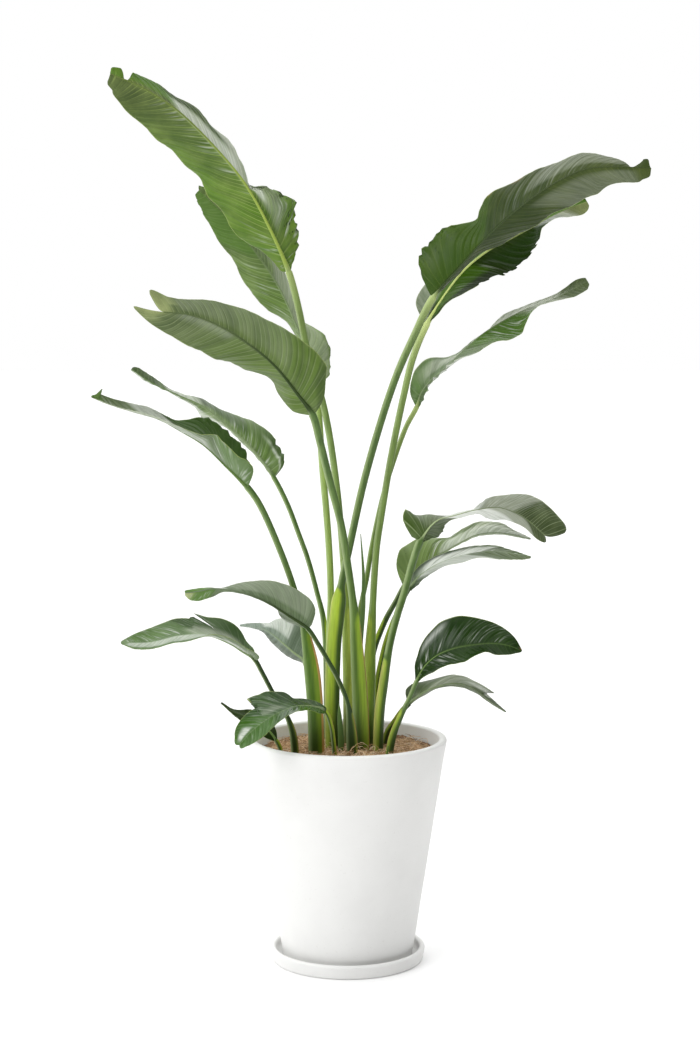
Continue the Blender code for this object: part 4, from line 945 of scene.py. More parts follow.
class MeshParts:
    """Vertices, faces and what they carry, gathered before one mesh is made of them."""

    def __init__(self):
        self.points = []
        self.faces = []
        self.materials = []
        self.values = {name: [] for name in ("wing", "along", "collar", "waxed") + PATCHES}
        self.veins = []
        self.count = 0

    def add_faces(self, faces, material):
        self.faces.append(faces)
        self.materials.append(np.broadcast_to(material, len(faces)))

    def add(self, points, faces, material, veins, **values):
        """Adds points, and faces that count them from nought. Veins is the points' vein map."""
        points = points.reshape(-1, 3)
        self.points.append(points)
        self.add_faces(faces + self.count, material)
        for key, store in self.values.items():
            store.append(np.broadcast_to(values.get(key, 0.0), len(points)))
        self.veins.append(veins)
        self.count += len(points)

    def add_tube(self, rings, distances, material, mirrored=False, **values):
        """Adds a tube of rings, its ends closed with fans of four-sided faces. Its left side is marked as the
        lit side, for painted light there and painted shade on its right side.
        """
        count, sides = rings.shape[:2]
        # Painted light and shade: one on the tube's left side, which is painted paler, and nought on its
        # right side, which is painted darker.
        aside = rings[..., 0] - rings[..., 0].mean(axis=1, keepdims=True)
        values["waxed"] = 0.5 - 0.5 * aside / np.abs(aside).max(axis=1, keepdims=True)
        values = {key: np.broadcast_to(value, (count, sides)).ravel() for key, value in values.items()}
        turns = TUBE_ANGLES / TURN
        veins = np.stack([np.repeat(distances, sides), np.tile(turns, count)], axis=1)
        first = self.count + np.arange(sides)
        faces = tube_faces(count, sides)
        self.add(rings, faces[:, ::-1] if mirrored else faces, material, veins, **values)
        step = np.arange(sides // 2 - 1)
        for ring, turned in ((first, not mirrored), (first + (count - 1) * sides, mirrored)):
            fan = np.stack([ring[step], ring[step + 1], ring[-2 - step], ring[-1 - step]], axis=1)
            self.add_faces(fan[:, ::-1] if turned else fan, material)

    def mesh(self, name):
        mesh = plain_mesh(name, np.concatenate(self.points).tolist(), np.concatenate(self.faces).tolist())
        mesh.polygons.foreach_set("material_index", np.concatenate(self.materials).astype(np.int32))
        for key, store in self.values.items():
            attribute = mesh.attributes.new(key, "FLOAT", "POINT")
            attribute.data.foreach_set("value", np.concatenate(store).astype(np.float32))
        layer = mesh.uv_layers.new(name="veins")
        corners = np.zeros(len(mesh.loops), np.int32)
        mesh.loops.foreach_get("vertex_index", corners)
        layer.data.foreach_set("uv", np.concatenate(self.veins)[corners].astype(np.float32).ravel())
        mesh.update()
        return mesh


# Leaves and shoots


def add_blade(parts, blade, looks, line_step, seed):
    """The blade as a thin closed sheet. Returns its places on the rib, and the points and normals there."""
    leaf = blade.leaf
    points, lines, across = blade.grid(line_step, seed)
    normals = grid_normals(points, leaf.lean)
    marks = vein_marks(lines, blade.length, looks, seed)
    points = pleated(points, normals, marks, across, looks, seed)
    half = BLADE_HALF_MIDDLE + (BLADE_HALF_EDGE - BLADE_HALF_MIDDLE) * np.abs(across)
    lift = normals * half[..., None]
    rows, columns = across.shape
    size = rows * columns
    front = leaf.lean > 0
    border = border_of_grid(rows, columns)
    following = np.roll(border, -1)
    rim = np.stack([border, following, following + size, border + size], axis=1)
    faces = np.concatenate([
        quads_of_grid(rows, columns, not front), quads_of_grid(rows, columns, front) + size,
        rim[:, ::-1] if front else rim])
    count = (rows - 1) * (columns - 1)
    seen, hidden = (0, 1) if leaf.shows == UNDERSIDE else (1, 0)
    slots = np.repeat([seen, hidden, hidden], [count, count, len(rim)])
    veins = np.stack([np.repeat(marks, columns), across.ravel()], axis=1)
    values = {kind: painted(looks, kind, lines, across) for kind in PATCHES}
    values["along"] = np.repeat(lines, columns)
    parts.add(np.stack([points + lift, points - lift]), faces, slots, np.tile(veins, (2, 1)),
              **{key: np.tile(value, 2) for key, value in values.items()})
    middle = columns // 2
    return lines, points[:, middle], normals[:, middle]


def add_stalk(parts, blade, lines, middle, normals):
    """The stalk with its sheath, run on as the rib to the tip: one closed tube."""
    leaf, looks = blade.leaf, blade.looks
    top, base = leaf.top_radius * MM, leaf.base_radius * MM
    distances = np.linspace(0, blade.start, max(8, round(blade.start / STALK_RING_STEP)) + 1)
    centres, _, ups, backs = blade.frames_at(distances)
    sheath_top, sheath_length = leaf.sheath
    share = np.clip((sheath_top * MM - centres[:, 2]) / (sheath_length * MM), 0.0, 1.0)[:, None]
    wide = top + (base - top) * np.sin(share * math.pi / 2)
    core = np.minimum(top * (1 + CORE_SWELL * share), wide)
    wing = ((1 + np.cos(TUBE_ANGLES)) / 2) ** WING_POWER
    rise = core * np.cos(TUBE_ANGLES) + 2 * (wide - core) * wing - (wide - core)
    depth = core * np.sin(TUBE_ANGLES) * STALK_DEPTH_SHARE
    stalk = rings_round(centres, ups, backs, rise, depth)
    fin = np.clip((rise + wide) / (2 * wide), 0, 1) * smoothstep(0.0, WING_FULL_BY, share)

    shares = lines[1:]
    thick = RIB_RADIUS_AT_STALK * looks.rib_size
    thin = RIB_RADIUS_AT_TIP * min(1.0, looks.rib_size)
    joining = np.exp(-shares * blade.length / looks.joint)
    radius = thick + (thin - thick) * shares ** RIB_TAPER_POWER + (top - thick) * joining
    radius[-1] = radius[-1] * RIB_TIP_SHARE
    reached = blade.start + blade.length * shares
    _, _, ups, backs = blade.frames_at(reached)
    centres = middle[1:] - normals[1:] * leaf.shows * (radius * RIB_STANDS_OUT * (1 - joining))[:, None]
    size = radius[:, None] * RIB_ROUNDNESS
    rib = rings_round(centres, ups, backs, np.cos(TUBE_ANGLES) * size, np.sin(TUBE_ANGLES) * size)

    reach = np.concatenate([distances, reached])
    collar = np.exp(-np.abs(reach - blade.start) / np.where(reach < blade.start, COLLAR_BELOW, COLLAR_ABOVE))
    along = np.concatenate([np.zeros(len(distances)), shares])
    parts.add_tube(np.concatenate([stalk, rib]), reach, 2, leaf.lean < 0, along=along[:, None],
                   wing=np.concatenate([fin, np.zeros((len(shares), TUBE_SIDES))]),
                   collar=(collar * looks.collar)[:, None])


def make_leaf(leaf, settings, seed):
    """One leaf in one mesh: a blade with a material for each face, and the stalk that runs on as its rib."""
    looks = LEAF_LOOKS[leaf.name]
    blade = Blade(leaf, looks)
    parts = MeshParts()
    add_stalk(parts, blade, *add_blade(parts, blade, looks, settings.line_step, seed))
    seen = looks.under if leaf.shows == UNDERSIDE else looks.upper
    sheath = looks.sheath or Sheath(looks.stalk)
    made = new_piece(
        parts.mesh(leaf.name + "_finished"),
        blade_material(leaf.name + "_underside", looks.under, looks.rib, seed),
        blade_material(leaf.name + "_upper_face", looks.upper, looks.rib, seed + UPPER_FACE_SEED),
        stalk_material(leaf.name + "_stalk", looks.stalk, looks.rib, seen.tip, sheath))
    seat(made, leaf.name)


def make_shoot(shoot):
    """A rolled leaf: a spear whose outer edge overlaps itself in a seam that winds round it."""
    route = Route([(*shoot.base, ROOTED / MM)] + shoot.route)
    marks = np.array([route.distance_of(index) for index in range(len(shoot.radii))])
    distances = np.linspace(0, route.length, max(12, round(route.length / SHOOT_RING_STEP)) + 1)
    radii = smooth_reading(marks, np.array(shoot.radii, float) * MM, distances)
    centres, _, ups, backs = route.frames_at(distances, AWAY, LEFT)
    seam = (TUBE_ANGLES[None, :] - distances[:, None] * SEAM_WINDING) % TURN / TURN
    size = radii[:, None] * (1 - SEAM_STEP + SEAM_STEP * seam)
    parts = MeshParts()
    parts.add_tube(rings_round(centres, ups, backs, np.cos(TUBE_ANGLES) * size,
                               np.sin(TUBE_ANGLES) * size * STALK_DEPTH_SHARE),
                   distances, 0, wing=(seam > SEAM_PALE_FROM) * SEAM_PALENESS,
                   along=(distances / route.length)[:, None])
    green = stalk_material(shoot.name + "_green", STALK_LIGHT, STALK_GREEN, STALK_GREEN, Sheath())
    seat(new_piece(parts.mesh(shoot.name + "_finished"), green), shoot.name)


# Pieces and how they ride


def new_piece(mesh, *materials):
    """An object in the scene with this mesh, the mesh's name, and these materials in order."""
    for material in materials:
        mesh.materials.append(material)
    made = bpy.data.objects.new(mesh.name, mesh)
    bpy.context.scene.collection.objects.link(made)
    return made


def seat(piece, node):
    """The piece rides on the plant's one body and stands for its node."""
    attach(piece, BODY)
    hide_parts(node)


# Materials


class Graph:
    """Short calls that build a node tree."""

    def __init__(self, tree):
        self.tree = tree

    def put(self, socket, value):
        if isinstance(value, bpy.types.NodeSocket):
            self.tree.links.new(value, socket)
        else:
            socket.default_value = value

    def add(self, kind, inputs=(), **settings):
        node = self.tree.nodes.new(kind)
        for key, value in settings.items():
            setattr(node, key, value)
        for socket, value in inputs:
            self.put(node.inputs[socket], value)
        return node

    def math(self, operation, first, second=0.0):
        return self.add("ShaderNodeMath", [(0, first), (1, second)], operation=operation).outputs[0]

    def step(self, value, low, high, start=0.0, end=1.0, kind="SMOOTHSTEP"):
        """Runs from start to end while the value runs from low to high."""
        inputs = [("Value", value), ("From Min", low), ("From Max", high), ("To Min", start), ("To Max", end)]
        return self.add("ShaderNodeMapRange", inputs, interpolation_type=kind).outputs["Result"]

    def split(self, vector):
        return tuple(self.add("ShaderNodeSeparateXYZ", [(0, vector)]).outputs)

    def vector(self, x=0.0, y=0.0, z=0.0):
        return self.add("ShaderNodeCombineXYZ", [(0, x), (1, y), (2, z)]).outputs[0]

    def vector_math(self, operation, *inputs):
        return self.add("ShaderNodeVectorMath", inputs, operation=operation).outputs


class Nodes(Graph):
    """Short calls that build a material."""

    def __init__(self, name):
        self.material = bpy.data.materials.new(name)
        self.material.use_nodes = True
        super().__init__(self.material.node_tree)

    def finish(self, **values):
        """Gives the shader these values, each named as its input with underscores."""
        shader = self.tree.nodes["Principled BSDF"]
        for name, value in values.items():
            self.put(shader.inputs[name.replace("_", " ").title().replace("Ior", "IOR")], value)
        return self.material

    def noise(self, vector, scale, detail=2.0, roughness=0.5):
        inputs = [("Vector", vector), ("Scale", scale), ("Detail", detail), ("Roughness", roughness)]
        return self.add("ShaderNodeTexNoise", inputs).outputs["Fac"]

    def line_noise(self, value, scale, detail=2.0):
        inputs = [("W", value), ("Scale", scale), ("Detail", detail)]
        return self.add("ShaderNodeTexNoise", inputs, noise_dimensions="1D").outputs["Fac"]

    def stretched(self, vector, scale, shift=0.0):
        inputs = [("Vector", vector), ("Location", (shift, 0.0, 0.0)), ("Scale", scale)]
        return self.add("ShaderNodeMapping", inputs).outputs["Vector"]

    def near(self, value, place, low, high):
        """One where the value is nearer to the place than low, and nought where it is further than high."""
        return self.step(self.math("ABSOLUTE", self.math("SUBTRACT", value, place)), low, high, 1.0, 0.0)

    def mix(self, share, first, second):
        inputs = [(0, share), (6, first), (7, second)]
        return self.add("ShaderNodeMix", inputs, data_type="RGBA", blend_type="MIX").outputs[2]

    def product(self, first, *others):
        """The product of some shares. A name stands for the mesh's attribute."""
        total = self.attribute(first) if isinstance(first, str) else first
        for other in others:
            total = self.math("MULTIPLY", total, other)
        return total

    def layered(self, body, *layers):
        """The body's colour under some layers, each a colour and the shares whose product lays it over."""
        for colour, *shares in layers:
            body = self.mix(self.product(*shares), body, colour)
        return body

    def attribute(self, name):
        return self.add("ShaderNodeAttribute", attribute_name=name).outputs["Fac"]

    def own_place(self):
        return self.add("ShaderNodeTexCoord").outputs["Object"]

    def vein_map(self):
        """Distance along the rib at the vein's foot, and signed place across the blade."""
        return self.add("ShaderNodeUVMap", uv_map="veins").outputs["UV"]

    def bump(self, height, strength, distance):
        inputs = [("Height", height), ("Strength", strength), ("Distance", distance)]
        return self.add("ShaderNodeBump", inputs).outputs["Normal"]


# Grey of the leaves' waxy bloom, also laid on as painted sheen.
BLOOM_AND_SHEEN_GREY = srgb(190, 196, 178)
# Dark green: the leaves' darker tone, also laid on as painted shade in patches, bands, vein troughs and the
# stalks' right sides.
DARK_GREEN_AND_SHADE = srgb(26, 50, 6)
YOUNG_GREEN = srgb(190, 200, 134)
VIVID_GREEN = srgb(78, 122, 8)
# Painted sheen: white laid on where a leaf's gloss reflects the bright surround.
SHEEN_WHITE = srgb(232, 236, 228)
EDGE_PALE = srgb(160, 176, 96)
# Painted shade at the stalks' feet, where they meet the coir.
FOOT_SHADE = srgb(30, 50, 4)
COLLAR_PALE = srgb(196, 210, 136)
# Painted light: the pale colour laid on the stalks' left sides.
LIT_SIDE_PALE = srgb(178, 196, 142)


def blade_material(name, look, rib, seed):
    """A leaf's face: bands of painted shade and pale veins with painted shade in their troughs, all following
    the vein map, a pale margin, grey bloom with painted sheen, painted white sheen in patches and streaks,
    and mottling.
    """
    nodes = Nodes(name)
    place = nodes.vein_map()
    foot, across, _ = nodes.split(place)
    reach = nodes.math("ABSOLUTE", across)
    shifted = nodes.math("ADD", foot, seed * 0.37)
    bands = nodes.line_noise(shifted, 55.0)
    fibres = nodes.line_noise(shifted, 300.0)
    mottle = nodes.noise(nodes.own_place(), 22.0, 3.0)
    streaks = nodes.noise(nodes.stretched(place, (210.0, 1.3, 1.0), seed * 3.1), 1.0)
    turn = nodes.math("FRACT", nodes.math("DIVIDE", foot, VEIN_SPACING))
    vein = nodes.near(turn, 0.5, 0.02, 0.13)
    trough = nodes.near(turn, 0.72, 0.0, 0.2)
    uneven = nodes.step(nodes.line_noise(shifted, 60.0, 1.0), 0.35, 0.6, 0.3, 1.0)
    fading = nodes.step(reach, look.vein_reach - 0.3, look.vein_reach + 0.3, 1.0, 0.15)
    veins = nodes.product(vein, uneven, fading)
    dimmed = nodes.step(veins, 0.0, 1.0, 1.0, 0.6)
    # Painted sheen: white patches and streaked gleam stand in for highlights and reflections.
    white = nodes.product("white", nodes.step(streaks, 0.3, 0.6, 0.6, 1.0), dimmed)
    gleam = nodes.product("gleam", nodes.step(streaks, 0.5, 0.74, 0.0, 0.6))
    body = nodes.mix(nodes.step(nodes.attribute("along"), 0.15, 0.95), look.base, look.tip)
    # Painted shade: darker bands along the blade's undulations and darker troughs beside the veins; the
    # darker fibres are the leaf's own tone.
    darker = nodes.mix(0.6, body, DARK_GREEN_AND_SHADE)
    body = nodes.layered(
        body,
        (darker, nodes.step(bands, 0.35, 0.7, 0.0, 0.55)),
        (darker, trough, 0.4),
        (darker, nodes.step(fibres, 0.35, 0.65, 0.2, 0.0)),
        (look.vein, nodes.step(mottle, 0.35, 0.75, 0.0, 0.22)),
        (look.vein, veins, look.vein_share),
        (rib, nodes.step(reach, 0.015, 0.06, 0.35, 0.0)),
        # Dark patches: partly the leaf's darker tone and partly painted shade where a blade curls or lies
        # under another.
        (DARK_GREEN_AND_SHADE, "deep", 0.8),
        (VIVID_GREEN, "vivid"),
        (YOUNG_GREEN, "young", nodes.step(mottle, 0.3, 0.7, 0.55, 1.0)),
        (EDGE_PALE, nodes.step(reach, 0.975, 0.995), 0.7),
        # Grey bloom: partly the leaf's wax and partly painted sheen.
        (BLOOM_AND_SHEEN_GREY, "bloom", nodes.step(streaks, 0.35, 0.62, 0.65, 1.0)),
        # Painted sheen and painted highlights in streaks.
        (SHEEN_WHITE, nodes.math("MAXIMUM", white, gleam)),
        (MARGIN_BROWN, "brown"))
    height = nodes.math("SUBTRACT", nodes.product(vein, 0.6), nodes.product(trough, 0.5))
    height = nodes.math("ADD", height, nodes.product(fibres, 0.3))
    rough = nodes.math("ADD", nodes.step(bands, 0.3, 0.7, -0.05, 0.07), look.roughness)
    return nodes.finish(base_color=body, roughness=rough, normal=nodes.bump(height, 0.35, 0.0005),
                        coat_weight=look.coat, coat_roughness=0.22, specular_ior_level=look.specular)


def stalk_material(name, green, rib, tip, sheath):
    """A smooth stalk with fine lengthwise fibres. Its sheath turns pale and then brown towards its margin,
    and its rib takes on the blade's colour towards the tip. Its left side is painted paler as painted light,
    its right side darker as painted shade, and its foot darker by the bed as painted shade."""
    nodes = Nodes(name)
    own = nodes.own_place()
    height = nodes.split(own)[2]
    wing, along, waxed = (nodes.attribute(key) for key in ("wing", "along", "waxed"))
    lengthwise = nodes.stretched(own, (1.0, 1.0, 0.05))
    fibres = nodes.noise(lengthwise, 600.0)
    streaks = nodes.noise(lengthwise, 180.0)
    mottle = nodes.noise(own, 30.0, 3.0)
    body = nodes.layered(
        green,
        (STALK_LIGHT, nodes.step(mottle, 0.4, 0.7, 0.0, 0.3)),
        (sheath.face, nodes.step(height, 0.48, 0.78, 0.9, 0.0)),
        (sheath.wing, nodes.step(wing, sheath.wing_from, sheath.wing_from + 0.35)),
        (STRAW, nodes.step(wing, 0.8, 0.92, 0.0, 0.35)),
        (sheath.margin, nodes.step(wing, sheath.margin_from, sheath.margin_from + 0.035)))
    # The body darkened: used for darker streaks and fibres, and as painted shade on the stalk's right side.
    shade = nodes.mix(0.5, body, DARK_GREEN_AND_SHADE)
    plain = nodes.step(wing, 0.1, 0.5, 1.0, 0.3)
    body = nodes.layered(
        body,
        (shade, nodes.step(streaks, 0.42, 0.62, 0.0, 0.55)),
        (shade, nodes.step(fibres, 0.35, 0.7, 0.0, 0.3)),
        # Painted shade: the stalk's foot darker near the bed.
        (FOOT_SHADE, nodes.step(height, 0.380, 0.47, 0.8, 0.0), nodes.step(wing, 0.5, 0.95, 1.0, 0.25)),
        # Painted light on the stalk's left side and painted shade on its right side.
        (LIT_SIDE_PALE, nodes.step(waxed, 0.5, 0.95, 0.0, 0.55), plain),
        (shade, nodes.step(waxed, 0.05, 0.45, 0.6, 0.0), plain),
        (COLLAR_PALE, "collar"),
        (rib, nodes.step(along, 0.002, 0.05)),
        (tip, nodes.step(along, 0.2, 0.85, 0.0, 0.85)))
    rough = nodes.step(mottle, 0.3, 0.7, 0.36, 0.48)
    return nodes.finish(base_color=body, roughness=rough, normal=nodes.bump(fibres, 0.25, 0.0005),
                        coat_weight=0.06, coat_roughness=0.3, specular_ior_level=0.22)


def pot_material(name, colour, roughness):
    """Matte white with faint cloudiness and a fine tooth."""
    nodes = Nodes(name)
    own = nodes.own_place()
    cloud = nodes.noise(own, 6.0, 4.0, 0.6)
    grain = nodes.noise(own, 900.0)
    specks = nodes.step(nodes.noise(own, 240.0, 1.0), 0.68, 0.78)
    shade = tuple(c * 0.93 for c in colour[:3]) + (1.0,)
    body = nodes.layered(
        colour, (shade, nodes.step(cloud, 0.35, 0.7, 0.0, 0.7)), (srgb(180, 176, 168), specks, 0.12))
    rough = nodes.step(cloud, 0.3, 0.7, roughness - 0.05, roughness + 0.07)
    return nodes.finish(base_color=body, roughness=rough, normal=nodes.bump(grain, 0.12, 0.0004))


def soil_material():
    """Dark damp crumbs."""
    nodes = Nodes("damp_potting_soil")
    crumbs = nodes.noise(nodes.own_place(), 160.0, 4.0, 0.7)
    body = nodes.mix(nodes.step(crumbs, 0.35, 0.7), srgb(38, 28, 22), srgb(88, 66, 50))
    return nodes.finish(base_color=body, roughness=0.95, normal=nodes.bump(crumbs, 0.8, 0.002))


def coir_mat_material():
    """The matted bed that the loose strands lie on, with painted shade darkening its edge by the pot's wall.
    """
    nodes = Nodes("matted_coir")
    own = nodes.own_place()
    tufts = nodes.noise(own, 55.0, 4.0, 0.65)
    hairs = nodes.noise(own, 620.0, 3.0, 0.7)
    flat = nodes.vector_math("MULTIPLY", (0, own), (1, (1.0, 1.0, 0.0)))[0]
    radius = nodes.vector_math("LENGTH", (0, flat))["Value"]
    body = nodes.layered(
        srgb(116, 80, 48),
        (srgb(202, 164, 120), nodes.step(tufts, 0.35, 0.68)),
        (srgb(234, 206, 166), nodes.step(hairs, 0.45, 0.7, 0.0, 0.7)),
        # Painted shade along the bed's edge by the pot's wall.
        (srgb(92, 62, 36), nodes.step(radius, 0.126, 0.139, 0.0, 0.7)))
    height = nodes.math("ADD", tufts, nodes.product(hairs, 0.6))
    return nodes.finish(base_color=body, roughness=0.95, normal=nodes.bump(height, 0.9, 0.003))


def coir_strand_material():
    """Dry fibre, each strand its own shade between straw and brown."""
    nodes = Nodes("coir_strands")
    shade = nodes.attribute("strand_shade")
    grain = nodes.noise(nodes.own_place(), 500.0)
    body = nodes.layered(
        srgb(138, 96, 58),
        (srgb(230, 194, 146), nodes.step(shade, 0.0, 0.6)),
        (srgb(250, 230, 198), nodes.step(shade, 0.5, 1.0)),
        (srgb(140, 104, 70), nodes.step(grain, 0.4, 0.7, 0.0, 0.25)))
    return nodes.finish(base_color=body, roughness=0.7, normal=nodes.bump(grain, 0.3, 0.0003))


def floor_material(colour):
    """A floor with the faintest unevenness."""
    nodes = Nodes("pale_studio_floor")
    soft = nodes.noise(nodes.own_place(), 1.5)
    body = nodes.mix(nodes.step(soft, 0.3, 0.7, 0.0, 0.02), colour, srgb(246, 246, 246))
    return nodes.finish(base_color=body, roughness=0.8)


# Pot, saucer and coir


def arc(centre_radius, centre_height, size, start, end, steps=8):
    """Points of a profile's rounding, from the start angle to the end angle in degrees."""
    angles = np.radians(np.linspace(start, end, steps + 1))
    return [(centre_radius + size * math.cos(a), centre_height + size * math.sin(a)) for a in angles]


def turned_mesh(name, profile, steps, closed_middle=False):
    """A body turned from a profile of (radius, height) that runs down its outer side."""
    angles = np.linspace(0, TURN, steps, endpoint=False)
    radii, heights = np.array(profile).T
    columns = len(radii)
    points = np.stack([np.outer(np.cos(angles), radii), np.outer(np.sin(angles), radii),
                       np.tile(heights, (steps, 1))], axis=-1).reshape(-1, 3).tolist()
    faces = []
    for step in range(steps):
        here, there = step * columns, (step + 1) % steps * columns
        for place in range(columns - 1 if closed_middle else columns):
            following = (place + 1) % columns
            faces.append((here + place, here + following, there + following, there + place))
    if closed_middle:
        for end, turned in ((0, False), (columns - 1, True)):
            points.append([0.0, 0.0, float(heights[end])])
            for step in range(steps):
                face = (len(points) - 1, step * columns + end, (step + 1) % steps * columns + end)
                faces.append(face[::-1] if turned else face)
    return plain_mesh(name, points, faces)


def make_pot_piece(settings):
    """The tapered cover pot: outer wall, rounded lip, inner wall, floor and drain hole."""
    rim, foot = settings.rim_radius, settings.foot_radius
    top, bottom = POT_HIGH.z, POT_LOW.z
    rounding, foot_rounding = settings.lip_rounding, settings.foot_rounding
    floor = bottom + settings.floor_thickness

    def outer(height):
        return foot + (rim - foot) * (height - bottom) / (top - bottom)

    def inner(height):
        return outer(height) - settings.wall, height

    wall = np.linspace(top - rounding, bottom + foot_rounding, POT_WALL_STEPS + 1)[1:-1]
    profile = arc(rim - rounding, top - rounding, rounding, 90, 0)
    profile += [(outer(height), height) for height in wall]
    profile += arc(foot - foot_rounding, bottom + foot_rounding, foot_rounding, 0, -90, FOOT_ARC_STEPS)
    profile += [(settings.drain_radius, bottom), (settings.drain_radius, floor)]
    profile += [inner(height) for height in (floor, MULCH_LOW.z, MULCH_TOP)]
    profile += arc(rim - settings.lip_width + rounding, top - rounding, rounding, 180, 90)[:-1]
    white = pot_material("matte_white_pot", settings.colour, settings.roughness)
    seat(new_piece(turned_mesh("pot_finished", profile, settings.turn_steps), white), "pot")


def make_saucer_piece(settings):
    """The low saucer: rounded foot and lip round a flat floor."""
    top = SAUCER_HIGH.z
    rounding = settings.saucer_lip / 2
    inner = SAUCER_HIGH.x - settings.saucer_lip
    floor, foot_rounding = settings.saucer_floor, settings.foot_rounding
    profile = [(SAUCER_MIDDLE, floor), (inner - rounding, floor), (inner, floor + rounding)]
    profile += arc(inner + rounding, top - rounding, rounding, 180, 90)
    profile += arc(SAUCER_HIGH.x - rounding, top - rounding, rounding, 90, 0)
    foot = settings.saucer_foot_radius - foot_rounding
    profile += arc(foot, foot_rounding, foot_rounding, 0, -90, FOOT_ARC_STEPS)
    profile += [(SAUCER_MIDDLE, 0.0)]
    white = pot_material("matte_white_saucer", settings.colour, settings.roughness - SAUCER_SMOOTHER)
    mesh = turned_mesh("saucer_finished", profile, settings.turn_steps, closed_middle=True)
    seat(new_piece(mesh, white), "saucer")


def mat_height(x, y, settings):
    """Relief of the matted fibres: a mound among the stalks, tufts, and a fine nap."""
    mound = settings.mound * (1 - (x * x + y * y) / settings.bed_radius ** 2)
    tufts = settings.tuft_relief * noise.fractal(Vector((x, y, 0.3)) * TUFTS_PER_METRE, 1.0, 2.0, 3)
    nap = settings.nap_relief * noise.fractal(Vector((x, y, 4.3)) * NAP_PER_METRE, 1.0, 2.0, 2)
    return MULCH_TOP + mound + tufts + nap


def mat_rings(centre, radius, rings, steps, settings):
    """Points on the mat in rings round a centre, from the innermost ring outwards."""
    points = []
    for ring in range(1, rings + 1):
        for step in range(steps):
            angle = TURN * step / steps
            x = centre[0] + radius * ring / rings * math.cos(angle)
            y = centre[1] + radius * ring / rings * math.sin(angle)
            points.append((x, y, mat_height(x, y, settings)))
    return points


def make_mat_piece(settings):
    """The bed of matted coir: a relief of tufts over a flat underside."""
    points = mat_rings((0.0, 0.0), settings.bed_radius, MAT_RINGS, MAT_STEPS, settings)
    points += [(x, y, MULCH_LOW.z) for x, y, _ in points[-MAT_STEPS:]]
    faces = disc_faces(MAT_RINGS + 1, MAT_STEPS).tolist()
    centre, under = len(points), len(points) + 1
    points += [(0.0, 0.0, mat_height(0.0, 0.0, settings)), (0.0, 0.0, MULCH_LOW.z)]
    last = MAT_RINGS * MAT_STEPS
    for step in range(MAT_STEPS):
        following = (step + 1) % MAT_STEPS
        faces += [(centre, step, following), (under, last + following, last + step)]
    made = new_piece(plain_mesh("coir_mat_finished", points, faces), coir_mat_material())
    seat(made, "coir_mulch")


